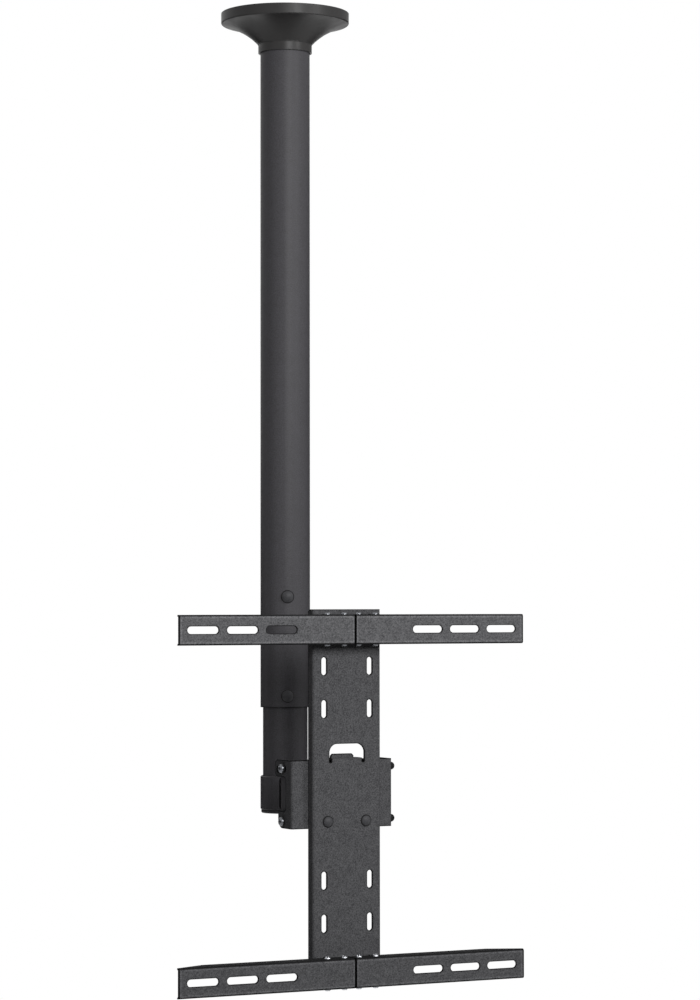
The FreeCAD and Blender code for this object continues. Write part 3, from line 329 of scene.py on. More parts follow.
@dataclass(frozen=True)
class PowderCoat(Finish):
    """Polyester powder, sprayed on steel and baked.

    It flows out to a dull film with an orange-peel relief, over which the eye sees a fine mottle of
    lighter and darker grains. Its sharp edges get painted shade.
    """

    roughness_range: tuple[float, float] = (-0.07, 0.07)
    pattern: Noise = Noise(1 / 9)
    pattern_share: float = 0.16
    grain: Noise = Noise(1.0, 3.0, 0.6)
    mottle_range: tuple[float, float] = (0.40, 0.76)
    pores_per_grain: float = 1.3
    pore_share: float = 0.5
    relief_mm: float = 0.03
    relief_strength: float = 0.55
    round_mm: float = 0.6
    specular: float = 0.20
    painted_edge_mm: float = 1.5
    edge_range: tuple[float, float] = (0.75, 0.97)
    painted_edge_shade: float = 0.12
    fold_painted_shading: ArmFoldPaintedShading | None = None

    def surface(self, tree: NodeTree, place: NodeSocket, pattern: NodeSocket, grain: NodeSocket) -> Feeds:
        """Gives the mottled colour with its dark edges, the gloss and the relief.

        Args:
            tree: the material's node tree.
            place: the point on the piece.
            pattern: the wide noise that clouds the mottle.
            grain: the fine noise of everything else.

        Returns:
            What feeds the shader.
        """
        mottle = add_node(tree, "ShaderNodeMath", {"operation": "MULTIPLY_ADD"}, {
            0: pattern, 1: self.pattern_share, 2: grain})
        tone = add_node(tree, "ShaderNodeMapRange", feeds={
            "Value": mottle.outputs[0], "From Min": self.mottle_range[0], "From Max": self.mottle_range[1]})
        pores = add_node(tree, "ShaderNodeTexVoronoi", feeds={
            "Vector": place, "Scale": self.pores_per_grain / (self.grain_mm * MM)})
        height = add_node(tree, "ShaderNodeMath", {"operation": "MULTIPLY_ADD"}, {
            0: pores.outputs["Distance"], 1: self.pore_share, 2: grain})
        # Painted shade along the edges: seen from inside the solid, its walls are near there
        depth = add_node(tree, "ShaderNodeAmbientOcclusion",
                         {"samples": 16, "inside": True, "only_local": True}, {"Distance": self.painted_edge_mm * MM})
        shade = add_node(tree, "ShaderNodeMapRange", feeds={
            "Value": depth.outputs["AO"], "From Min": self.edge_range[0], "From Max": self.edge_range[1],
            "To Min": self.painted_edge_shade}).outputs[0]
        # On an arm, painted shade on its fold lines and a painted highlight beside them
        if self.fold_painted_shading:
            shade = add_node(tree, "ShaderNodeMath", {"operation": "MULTIPLY"}, {
                0: shade, 1: self.fold_painted_shading.shade(tree, place)}).outputs[0]
        shaded = add_node(tree, "ShaderNodeVectorMath", {"operation": "SCALE"}, {
            0: self.blend(tree, tone.outputs[0]), "Scale": shade})
        return {"Base Color": shaded.outputs["Vector"], "Roughness": self.gloss(tree, grain),
                "Normal": self.relief(tree, height.outputs[0])}


@dataclass(frozen=True)
class MouldedAbs(Finish):
    """ABS, injection moulded in a finely eroded mould: a dark satin skin with soft, clear highlights.

    Its pattern is the wide, faint bands of the plastic's flow.
    """

    roughness_range: tuple[float, float] = (-0.03, 0.05)
    pattern: Noise = Noise(1 / 40, 2.0, 0.4, 0.6)
    relief_strength: float = 0.15
    round_mm: float = 0.5
    specular: float = 0.20
    ior: float = 1.54


@dataclass(frozen=True)
class ZincPlate(Finish):
    """Steel with electroplated zinc: a grey metal with small matt and bright patches and fine scratches."""

    roughness_range: tuple[float, float] = (0.08, -0.06)
    pattern: Noise = Noise(1.0, 4.0, 0.6)
    grain: Noise = Noise(6.0, distortion=0.8)
    round_mm: float = 0.25
    metallic: float = 1.0


@dataclass(frozen=True)
class MouldedPolyamide(Finish):
    """Polyamide, moulded and a little waxy: smooth, dull and even."""

    ior: float = 1.53


@dataclass
class Finishes:
    """The finishes of the mount, each made once."""

    bracket: Material
    upper_arm: Material
    lower_arm: Material
    tube: Material
    bolt: Material
    cap: Material
    cover: Material
    zinc: Material
    dull_zinc: Material
    nylon: Material
    insert: Material

    @classmethod
    def make(cls) -> "Finishes":
        """Makes all the materials.

        Returns:
            The finishes.
        """
        # Powder grains stand about 0.6 mm apart, drawn twice as coarse, because finer ones don't show
        textured = PowderCoat("steel_textured_powder_coat", "#39393b", "#626264", 1.3, 0.88,
                              relief_mm=0.12, specular=0.04)
        # Painted light: the upper arm gets a paler copy of the coat, standing in for the stronger light on it
        upper = replace(textured, name=textured.name + "_upper_arm", dark="#434345", light="#707072",
                        fold_painted_shading=ArmFoldPaintedShading(ARM_LEVELS[Body.UPPER_ARM]))
        lower = replace(textured, name=textured.name + "_lower_arm",
                        fold_painted_shading=ArmFoldPaintedShading(ARM_LEVELS[Body.LOWER_ARM]))
        return cls(
            bracket=textured.make(),
            upper_arm=upper.make(),
            lower_arm=lower.make(),
            tube=PowderCoat("steel_fine_powder_coat", "#3d3c3e", "#4c4b4f", 1.2, 0.50, relief_mm=0.04).make(),
            bolt=PowderCoat("steel_satin_powder_coat", "#3a3a3c", "#464649", 1.2, 0.50).make(),
            cap=PowderCoat("steel_black_powder_coat", "#161618", "#1f1f21", 1.2, 0.55, specular=0.08).make(),
            # Eroded moulds leave a grain of about 0.3 mm, drawn a little coarser
            cover=MouldedAbs("abs_satin_moulded", "#2b2a2a", "#323131", 0.4, 0.40).make(),
            # Painted shade: the tilt bolts and the upper arm's screws get a darker copy of the zinc, standing
            # in for dimmer reflections
            zinc=ZincPlate("steel_bright_zinc_plated", "#6c6e72", "#cfd1d5", 1.5, 0.20).make(),
            dull_zinc=ZincPlate("steel_zinc_plated_painted_darker", "#34363a", "#8e9094", 1.5, 0.28).make(),
            nylon=MouldedPolyamide("polyamide_black_moulded", "#161617", "#1d1d1e", 0.6, 0.45).make(),
            insert=MouldedPolyamide("polyamide_white_moulded", "#c8c7c0", "#d9d8d2", 0.6, 0.5).make(),
        )

    def of_node(self, node: str, slot: Slot) -> Material:
        """Gives the finish of a CAD node.

        Args:
            node: the node's name.
            slot: its slot in the record.

        Returns:
            The arm's own coat for an arm's sheet, otherwise the finish with the slot's name.
        """
        if slot is Slot.BRACKET and node.startswith(("upper_arm", "lower_arm")):
            return self.upper_arm if node.startswith("upper_arm") else self.lower_arm
        return getattr(self, slot.name.lower())


# Meshes


def ring(radius: float | Callable[[float], float], height: float, count: int) -> Ring:
    """Makes a closed ring of points about the Z axis.

    Args:
        radius: the ring's radius, or a function that gives it for an angle.
        height: the ring's height.
        count: the number of points.

    Returns:
        The points.
    """
    points = []
    for step in range(count):
        angle = TURN * step / count
        size = radius(angle) if callable(radius) else radius
        points.append(Vector((size * cos(angle), size * sin(angle), height)))
    return points


def loft(name: str, rings: Sequence[Ring], materials: Sequence[Material], second: Sequence[int] = (),
         closed: bool = False, crease: float = 25.0) -> Object:
    """Makes an object from rings of points, joined by a skin.

    Args:
        name: the object's name.
        rings: rings with the same number of points.
        materials: one or two materials.
        second: numbers of the bands between rings that get the second material.
        closed: whether the last ring joins the first; otherwise both ends are capped.
        crease: edges bent more than this many degrees stay sharp.

    Returns:
        The object, linked to the scene.
    """
    count = len(rings[0])
    points = [point for one in rings for point in one]
    bands = len(rings) if closed else len(rings) - 1
    faces = []
    for band in range(bands):
        low = band * count
        high = (band + 1) % len(rings) * count
        for step in range(count):
            after = (step + 1) % count
            faces.append((low + step, low + after, high + after, high + step))
    numbers = [int(index // count in second) for index in range(len(faces))]
    if not closed:
        last = (len(rings) - 1) * count
        faces += [tuple(reversed(range(count))), tuple(range(last, last + count))]
        numbers += [0, 0]
    mesh = bpy.data.meshes.new(name)
    mesh.from_pydata(points, [], faces)
    piece = add_object(name, mesh, materials)
    mesh.polygons.foreach_set("material_index", numbers)
    mesh.polygons.foreach_set("use_smooth", [True] * len(faces))
    mesh.set_sharp_from_angle(angle=radians(crease))
    mesh.update()
    return piece


def facing(direction: Vector, place: Vector) -> Matrix:
    """Gives the placement that turns +Z to a direction and moves the origin to a place.

    Args:
        direction: where +Z is to point.
        place: where the origin is to be.

    Returns:
        The matrix.
    """
    turn = UP.rotation_difference(direction.normalized()).to_matrix().to_4x4()
    return Matrix.Translation(place) @ turn


def settle(piece: Object, placement: Matrix, body: Body, slot: Slot, *nodes: str) -> None:
    """Puts a piece in its place, on its body, and in the place of CAD nodes.

    Args:
        piece: the piece, made about its own origin.
        placement: where it goes.
        body: the body that it rides on.
        slot: the record's slot of the piece; not used.
        *nodes: the nodes that it stands for.
    """
    piece.data.transform(placement)
    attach(piece, body.value)
    if nodes:
        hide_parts(*nodes)
    LOG.info("%s rides on %s, %d faces", piece.name, body.value, len(piece.data.polygons))


def gather(name: str, pieces: Sequence[tuple[Object, Matrix]]) -> Object:
    """Joins small pieces to one.

    Args:
        name: the name of the whole.
        pieces: each piece, made about its own origin, and where it goes.

    Returns:
        The whole, linked to the scene.
    """
    materials: list[Material] = []
    whole = bmesh.new()
    for piece, placement in pieces:
        piece.data.transform(placement)
        numbers = []
        for material in piece.data.materials:
            if material not in materials:
                materials.append(material)
            numbers.append(materials.index(material))
        for face in piece.data.polygons:
            face.material_index = numbers[face.material_index]
        whole.from_mesh(piece.data)
        bpy.data.objects.remove(piece)
    mesh = bpy.data.meshes.new(name)
    whole.to_mesh(mesh)
    whole.free()
    return add_object(name, mesh, materials)


# Fasteners


@dataclass(frozen=True)
class DomedBolt:
    """Machine bolt with a low domed head and a cut thread at its end; millimetres."""

    head_radius: float
    head_height: float
    length: float
    thread_length: float
    radius: float = 3.0
    pitch: float = 1.0
    thread_depth: float = 0.55
    end_cut: float = 0.35
    point_cut: float = 1.1
    runout: float = 0.3
    rim_cut: float = 0.15
    rim_height: float = 0.18
    tip_radius: float = 0.25
    sides: int = 48
    turn_steps: int = 10
    dome_steps: int = 8

    def head_rings(self) -> list[Ring]:
        """Makes the rings of the head.

        Returns:
            The rings, from the head's underside to its tip.
        """
        crown = (self.head_radius ** 2 + self.head_height ** 2) / (2 * self.head_height)
        rings = [ring((self.head_radius - self.rim_cut) * MM, 0.0, self.sides),
                 ring(self.head_radius * MM, self.rim_height * MM, self.sides)]
        for step in range(1, self.dome_steps + 1):
            height = self.head_height * (1 - (1 - step / self.dome_steps) ** 2)
            radius = sqrt(max(crown ** 2 - (height + crown - self.head_height) ** 2, 0.0))
            rings.append(ring(max(radius, self.tip_radius) * MM, height * MM, self.sides))
        return rings

    def thread_ring(self, height: float) -> Ring:
        """Makes a ring of the thread, a V cut that winds round the shank and is deeper over the last turn.

        Args:
            height: the ring's height.

        Returns:
            The ring.
        """
        ends = min(1.0, (height + self.length) / self.pitch)
        crest = self.radius - self.end_cut * (1 - ends)

        def at(angle: float) -> float:
            """Gives the radius in metres."""
            phase = (height / self.pitch - angle / TURN) % 1.0
            return (crest - self.thread_depth * (1 - abs(2 * phase - 1))) * MM

        return ring(at, height * MM, self.sides)

    def make(self, name: str, material: Material) -> Object:
        """Makes the bolt with its head's underside at the origin and its shank along -Z.

        Args:
            name: the object's name.
            material: its finish.

        Returns:
            The bolt.
        """
        rings = [ring((self.radius - self.point_cut) * MM, -self.length * MM, self.sides)]
        steps = round(self.thread_length / self.pitch * self.turn_steps)
        rings += [self.thread_ring(-self.length + self.thread_length * step / steps)
                  for step in range(steps + 1)]
        for height in (-self.length + self.thread_length + self.runout, 0.0):
            rings.append(ring(self.radius * MM, height * MM, self.sides))
        return loft(name, rings + self.head_rings(), [material], crease=32)


@dataclass(frozen=True)
class PanScrew(DomedBolt):
    """Screw with a rounded pan head and a cross recess; millimetres.

    The recess is sized in shares of the head's radius, and its depth in a share of the head's height.
    """

    rim_cut: float = 0.1
    sides: int = 64
    roundness: float = 2.6
    rim_share_squared: float = 0.006
    recess_wing: float = 0.13
    recess_reach: float = 0.60
    recess_slope: float = 0.14
    recess_depth: float = 0.5
    ring_shares: tuple[float, ...] = (
        1.0, 0.995, 0.98, 0.95, 0.91, 0.86, 0.8, 0.74, 0.68,
        0.62, 0.55, 0.48, 0.41, 0.34, 0.27, 0.2, 0.12, 0.04)

    def recess(self, across: float, along: float) -> float:
        """Gives the depth of the cross recess at a point of the head.

        Args:
            across: the point's X.
            along: the point's Y.

        Returns:
            The depth, from none to about half of the head's height.
        """
        wing, reach, slope = (share * self.head_radius
                              for share in (self.recess_wing, self.recess_reach, self.recess_slope))

        def arm(width: float, length: float) -> float:
            """Gives how far a point lies in one wing of the cross, from none to one."""
            inside = min(wing + slope - width, reach + slope - length) / slope
            return min(1.0, max(0.0, inside))

        deep = max(arm(abs(across), abs(along)), arm(abs(along), abs(across)))
        return self.recess_depth * self.head_height * deep

    def head_rings(self) -> list[Ring]:
        """Makes the rings of the head.

        Returns:
            The rings, from the head's underside over its shoulder into the recess.
        """
        rings = [ring((self.head_radius - self.rim_cut) * MM, 0.0, self.sides)]
        for share in self.ring_shares:
            height = self.head_height * sqrt(max(self.rim_share_squared, 1 - share ** self.roundness))
            rings.append([Vector((point.x, point.y, height - self.recess(point.x, point.y))) * MM
                          for point in ring(self.head_radius * share, 0.0, self.sides)])
        return rings


@dataclass(frozen=True)
class Hexagon:
    """Six-sided body of a nut; millimetres.

    A cone chamfers its corners. On the end faces it starts at a share of the flats' distance.
    """

    across_corners: float = 11.54
    height: float = 5.0
    cone_share: float = 0.96
    cone_steps: int = 4
    sides: int = 96

    def rings(self) -> list[Ring]:
        """Makes the rings of the body.

        Returns:
            The rings, from the lower face to the upper one.
        """
        apothem = self.across_corners / 2 * cos(pi / 6)
        start = apothem * self.cone_share
        drop = (self.across_corners / 2 - start) * tan(pi / 6)

        def at(cone: float, height: float) -> Ring:
            """Makes the ring at a height where the chamfer's cone has a radius."""
            return ring(lambda angle: min(apothem / cos(angle % (TURN / 6) - TURN / 12), cone) * MM,
                        height * MM, self.sides)

        steps = [index / self.cone_steps for index in range(self.cone_steps + 1)]
        rise = [(drop * step, start + drop * step / tan(pi / 6)) for step in steps]
        lower = [at(cone, height) for height, cone in rise]
        return lower + [at(cone, self.height - height) for height, cone in reversed(rise)]


@dataclass(frozen=True)
class Washer:
    """Flat washer with broken edges; millimetres."""

    radius: float = 6.2
    bore: float = 3.2
    thickness: float = 1.4
    chamfer: float = 0.2
    sides: int = 64

    def make(self, name: str, material: Material) -> Object:
        """Makes the washer with its face at the origin, along +Z.

        Args:
            name: the object's name.
            material: its finish.

        Returns:
            The washer.
        """
        top = self.thickness
        cut = self.chamfer
        rings = [ring(size * MM, height * MM, self.sides) for size, height in (
            (self.bore, cut), (self.bore + cut, 0.0), (self.radius - cut, 0.0), (self.radius, cut),
            (self.radius, top - cut), (self.radius - cut, top), (self.bore + cut, top),
            (self.bore, top - cut))]
        return loft(name, rings, [material], closed=True)


@dataclass(frozen=True)
class LockNut:
    """Nut with a polyamide ring in its collar, which keeps it from working loose; millimetres."""

    collar_height: float = 1.6
    collar_radius: float = 4.73
    collar_round: float = 0.5
    round_middle: float = 0.15
    lip_radius: float = 3.95
    lip_slope: float = 0.05
    insert_drop: float = 0.2
    insert_cut: float = 0.1
    bore: float = 3.1
    bore_cut: float = 0.3
    bore_cut_height: float = 0.4
    body: Hexagon = Hexagon()

    def make(self, name: str, finishes: Finishes) -> Object:
        """Makes the nut with its face at the origin, along +Z.

        Args:
            name: the object's name.
            finishes: the mount's finishes.

        Returns:
            The nut.
        """
        top = self.body.height + self.collar_height
        rings = self.body.rings()
        rings += [ring(size * MM, height * MM, self.body.sides) for size, height in (
            (self.collar_radius, self.body.height), (self.collar_radius, top - self.collar_round),
            (self.collar_radius - self.round_middle, top - self.round_middle),
            (self.collar_radius - self.collar_round, top), (self.lip_radius, top),
            (self.lip_radius - self.lip_slope, top - self.insert_drop),
            (self.bore + self.insert_cut, top - self.insert_drop), (self.bore, top - 2 * self.insert_drop),
            (self.bore, self.bore_cut_height), (self.bore + self.bore_cut, 0.0))]
        # The bands on the insert's face and on its inner edge are white
        insert = (len(rings) - 5, len(rings) - 4)
        return loft(name, rings, [finishes.zinc, finishes.insert], insert, closed=True)


@dataclass(frozen=True)
class CapNut:
    """Closed nut with a domed end, whose steps stop short of a quarter circle; millimetres."""

    height: float = 13.0
    dome_radius: float = 4.73
    dome_steps: int = 10
    quarter_steps: float = 9.3
    seam: float = 0.05
    tip_radius: float = 0.2
    body: Hexagon = Hexagon()

    def make(self, name: str, finishes: Finishes) -> Object:
        """Makes the nut with its face at the origin, along +Z.

        Args:
            name: the object's name.
            finishes: the mount's finishes.

        Returns:
            The nut.
        """
        foot = self.height - self.dome_radius
        profile = [(self.dome_radius, self.body.height + self.seam)]
        for step in range(self.dome_steps):
            angle = pi / 2 * step / self.quarter_steps
            profile.append((self.dome_radius * cos(angle), foot + self.dome_radius * sin(angle)))
        profile.append((self.tip_radius, self.height))
        rings = [ring(size * MM, height * MM, self.body.sides) for size, height in profile]
        return loft(name, self.body.rings() + rings, [finishes.cap])


# Welds


@dataclass(frozen=True)
class WeldBead:
    """Fillet weld along a path, with the ripples of its molten pool under the paint; millimetres."""

    leg: float
    bulge_share: float = 0.12
    ripple_pitch: float = 2.6
    ripple_height: float = 0.22
    ripple_bow: float = 0.35
    section_steps: int = 8

    def make(self, name: str, path: Sequence[tuple[Vector, Vector, Vector]], material: Material) -> Object:
        """Makes the bead.

        Args:
            name: the piece's name.
            path: round the seam, the corner's point and the directions of its two walls.
            material: the bead's finish.

        Returns:
            The bead, closed to a loop.
        """
        rings = []
        travelled = 0.0
        before = path[0][0]
        for corner, first, second in path:
            travelled += (corner - before).length / MM
            before = corner
            section = [corner]
            for step in range(self.section_steps + 1):
                share = step / self.section_steps
                swell = 1 - abs(2 * share - 1)
                phase = travelled / self.ripple_pitch + self.ripple_bow * (1 - swell ** 2)
                ripple = self.ripple_height * swell * (0.5 - abs(phase % 1.0 - 0.5)) * 2
                bulge = self.bulge_share * self.leg * sin(pi * share) + ripple
                reach = first * (1 - share) + second * share
                out = (first + second).normalized()
                section.append(corner + (reach * self.leg + out * bulge) * MM)
            rings.append(section)
        return loft(name, rings, [material], closed=True, crease=50)


# Sub-assemblies


@dataclass
class CadSkin:
    """The CAD nodes that keep their own shape and get their finish here."""

    finishes: Finishes

    def dress(self) -> None:
        """Gives every node the finish of its slot, and the arms' sheets their own."""
        slots = {row["node"]: Slot(row["material_slot"]) for row in frame["record"]["subparts"]}
        for name, node in frame["nodes"].items():
            node.data.materials.clear()
            node.data.materials.append(self.finishes.of_node(name, slots[name]))
        LOG.info("%d nodes dressed", len(slots))


@dataclass
class PoleFittings:
    """Weld under the ceiling plate, and the through bolts with their nuts; millimetres, degrees."""

    finishes: Finishes
    radius: float = 30.2
    turn: float = 21.0
    upper: float = -714.0
    lower: float = -834.0
    plate_level: float = -4.0
    weld_leg: float = 3.72
    weld_steps: int = 360
    washer_thickness: float = 1.4
    bolt: DomedBolt = DomedBolt(8.0, 4.6, 71.4, 16.0)
    nut: LockNut = LockNut()

    def build(self) -> None:
        """Makes the weld and both bolts with their nuts."""
        path = []
        for step in range(self.weld_steps):
            angle = TURN * step / self.weld_steps
            out = Vector((cos(angle), sin(angle), 0))
            path.append((out * self.radius * MM + UP * self.plate_level * MM, out, -UP))
        weld = WeldBead(self.weld_leg).make("weld_under_plate", path, self.finishes.tube)
        settle(weld, Matrix(), Body.CEILING, Slot.TUBE, "tube_weld")
        lean = radians(self.turn)
        front = Vector((-sin(lean), -cos(lean), 0))
        for name, level in (("upper", self.upper), ("lower", self.lower)):
            height = UP * level * MM
            bolt = self.bolt.make("through_bolt_" + name, self.finishes.bolt)
            place = front * self.radius * MM + height
            settle(bolt, facing(front, place), Body.CEILING, Slot.BOLT, "tube_bolt_" + name)
            nut = self.nut.make("through_nut_" + name, self.finishes)
            place = -front * (self.radius + self.washer_thickness) * MM + height
            settle(nut, facing(-front, place), Body.CEILING, Slot.ZINC, "tube_nut_" + name)


@dataclass
class HeadFittings:
    """Welds of the neck, tilt bolts with cap nuts, and the plate's bolts with their nuts; millimetres."""

    finishes: Finishes
    collar_radius: float = 30.2
    collar_middle: float = -951.5
    neck_width: float = 36.0
    neck_height: float = 37.0
    neck_corner: float = 3.0
    corner_steps: int = 4
    bracket_back: float = 112.0
    weld_leg: float = 2.0
    weld_step: float = 0.7
    tilt_depth: float = 128.0
    seat: float = 68.2
    pivot_level: float = -977.5
    lock_level: float = -915.5
    plate_face: float = 162.9
    plate_inside: float = 148.0
    plate_bolt_spread: float = 25.0
    plate_bolt_level: float = -977.0
    bolt: DomedBolt = DomedBolt(7.0, 3.8, 24.5, 10.0)
    nut: LockNut = LockNut()
    cap_nut: CapNut = CapNut()
    tilt_bolt: PanScrew = PanScrew(5.2, 3.6, 145.9, 18.0)

    def outline(self) -> list[tuple[float, float, float, float]]:
        """Goes round the neck's section in short steps.

        Returns:
            The places across and up, each with its outward direction.
        """
        points = []
        wide = self.neck_width / 2 - self.neck_corner
        high = self.neck_height / 2 - self.neck_corner
        for corner in range(4):
            across = wide if corner in (0, 3) else -wide
            up = high if corner in (0, 1) else -high
            for step in range(self.corner_steps + 1):
                angle = pi / 2 * (corner + step / self.corner_steps)
                points.append((across + self.neck_corner * cos(angle),
                               up + self.neck_corner * sin(angle), cos(angle), sin(angle)))
        dense = []
        for here, after in zip(points, points[1:] + points[:1]):
            gap = hypot(after[0] - here[0], after[1] - here[1])
            pieces = max(1, round(gap / self.weld_step))
            for step in range(pieces):
                share = step / pieces
                dense.append(tuple(a + (b - a) * share for a, b in zip(here, after)))
        return dense

    def build(self) -> None:
        """Makes the welds and all the bolts with their nuts."""
        self.build_welds()
        self.build_tilt_bolts()
        self.build_plate_bolts()

    def build_welds(self) -> None:
        """Makes the welds of the neck on the inner bracket's flat back and on the collar's round wall."""
        rear = []
        front = []
        for across, up, right, rise in self.outline():
            out = Vector((right, 0, rise)).normalized()
            level = (self.collar_middle + up) * MM
            front.append((Vector((across * MM, -self.bracket_back * MM, level)), out, BACK))
            depth = sqrt(self.collar_radius ** 2 - across ** 2)
            along = Vector((depth, across, 0)).normalized() * right + UP * rise
            rear.append((Vector((across * MM, -depth * MM, level)), along.normalized(), -BACK))
        weld = WeldBead(self.weld_leg)
        for name, path in (("weld_neck_front", front), ("weld_neck_rear", rear)):
            settle(weld.make(name, path, self.finishes.bracket), Matrix(), Body.SWIVEL, Slot.BRACKET)

    def build_tilt_bolts(self) -> None:
        """Makes the two long bolts across the head and their cap nuts."""
        for name, level in (("pivot", self.pivot_level), ("lock", self.lock_level)):
            nut = self.cap_nut.make("cap_nut_" + name, self.finishes)
            place = Vector((self.seat, -self.tilt_depth, level)) * MM
            settle(nut, facing(RIGHT, place), Body.SWIVEL, Slot.BOLT, name + "_cap_nut")
            # Painted shade: the tilt bolts take the darker copy of the zinc
            bolt = self.tilt_bolt.make("tilt_bolt_" + name, self.finishes.dull_zinc)
            place = Vector((-self.seat, -self.tilt_depth, level)) * MM
            settle(bolt, facing(-RIGHT, place), Body.SWIVEL, Slot.ZINC, name + "_bolt")

    def build_plate_bolts(self) -> None:
        """Makes the two bolts that hold the upright plate, and their nuts."""
        for name, side in (("left", -1), ("right", 1)):
            across = side * self.plate_bolt_spread
            bolt = self.bolt.make("plate_bolt_head_" + name, self.finishes.bolt)
            place = Vector((across, -self.plate_face, self.plate_bolt_level)) * MM
            settle(bolt, facing(-BACK, place), Body.HEAD, Slot.BOLT, "plate_bolt_" + name)
            nut = self.nut.make("plate_lock_nut_" + name, self.finishes)
            place = Vector((across, -self.plate_inside, self.plate_bolt_level)) * MM
            settle(nut, facing(BACK, place), Body.HEAD, Slot.ZINC, "plate_nut_" + name)


@dataclass
class ArmFittings:
    """Screws of the arm halves, and the holders' bolts with washers and nuts; millimetres."""

    finishes: Finishes
    screw_places: tuple[float, ...] = (-31.5, -9.5, 9.5, 31.5)
    screw_depth: float = 174.3
    bolt_spread: float = 30.0
    bolt_depth: float = 165.4
    washer_depth: float = 160.0
    screw: PanScrew = PanScrew(4.0, 2.6, 8.0, 7.0, radius=2.0, pitch=0.7)
    bolt: DomedBolt = DomedBolt(7.0, 3.8, 13.0, 8.0)
    washer: Washer = Washer()
    nut: LockNut = LockNut()

    def build(self) -> None:
        """Makes the screws, bolts, washers and nuts of both arms."""
        for body, level in ARM_LEVELS.items():
            prefix = body.value.removesuffix("_arm")
            # Painted shade: the upper arm's screws take the darker copy of the zinc
            plating = self.finishes.zinc if body is Body.LOWER_ARM else self.finishes.dull_zinc
            screws = []
            for across in self.screw_places:
                for side in (1, -1):
                    place = Vector((across, -self.screw_depth, level + side * ARM_HALF_HEIGHT)) * MM
                    screws.append((self.screw.make("screw", plating), facing(UP * side, place)))
            settle(gather(prefix + "_screws", screws), Matrix(), body, Slot.ZINC, prefix + "_arm_screws")
            nuts = []
            for name, side in (("left", -1), ("right", 1)):
                across = side * self.bolt_spread
                bolt = self.bolt.make(prefix + "_bolt_" + name, self.finishes.bolt)
                place = Vector((across, -self.bolt_depth, level)) * MM
                settle(bolt, facing(-BACK, place), body, Slot.BOLT, prefix + "_holder_bolt_" + name)
                place = Vector((across, -self.washer_depth, level)) * MM
                nuts.append((self.washer.make("washer", self.finishes.zinc), facing(BACK, place)))
                place = place + BACK * self.washer.thickness * MM
                nuts.append((self.nut.make("nut", self.finishes), facing(BACK, place)))
            settle(gather(prefix + "_nuts", nuts), Matrix(), body, Slot.ZINC, prefix + "_holder_nuts")


# Studio


@dataclass(frozen=True)
class SoftBox:
    """Lamp that points at the mount's middle, and may be left out of reflections; metres and watts."""

    name: str
    place: Point
    width: float
    height: float
    power: float
    mirrored: bool = True
    target: Point = (0.0, -0.1, -0.75)

    def build(self) -> None:
        """Makes the lamp."""
        light = bpy.data.lights.new(self.name, "AREA")
        light.shape = "RECTANGLE"
        light.size = self.width
        light.size_y = self.height
        light.energy = self.power
        lamp = add_object(self.name, light)
        lamp.location = self.place
        lamp.visible_glossy = self.mirrored
        lamp.rotation_mode = "QUATERNION"
        lamp.rotation_quaternion = (Vector(self.target) - Vector(self.place)).to_track_quat("-Z", "Y")


@dataclass(frozen=True)
class ProductCamera:
    """Camera at the photograph's viewing angle; metres, degrees, lens in millimetres."""

    place: Point = (-1.75540, -3.54755, -0.72224)
    yaw: float = 27.471
    pitch: float = 1.826
    roll: float = -0.060
    lens: float = 116.872

    def build(self) -> None:
        """Makes the camera and gives it to the scene."""
        yaw, pitch, roll = (radians(angle) for angle in (self.yaw, self.pitch, self.roll))
        ahead = Vector((sin(yaw) * cos(pitch), cos(yaw) * cos(pitch), sin(pitch)))
        level = Vector((cos(yaw), -sin(yaw), 0))
        upright = level.cross(ahead)
        right = level * cos(roll) + upright * sin(roll)
        up = upright * cos(roll) - level * sin(roll)
        data = bpy.data.cameras.new("camera")
        data.lens = self.lens
        camera = add_object("camera", data)
        camera.matrix_world = Matrix.Translation(self.place) @ Matrix((
            (right.x, up.x, -ahead.x, 0), (right.y, up.y, -ahead.y, 0),
            (right.z, up.z, -ahead.z, 0), (0, 0, 0, 1)))
        bpy.context.scene.camera = camera


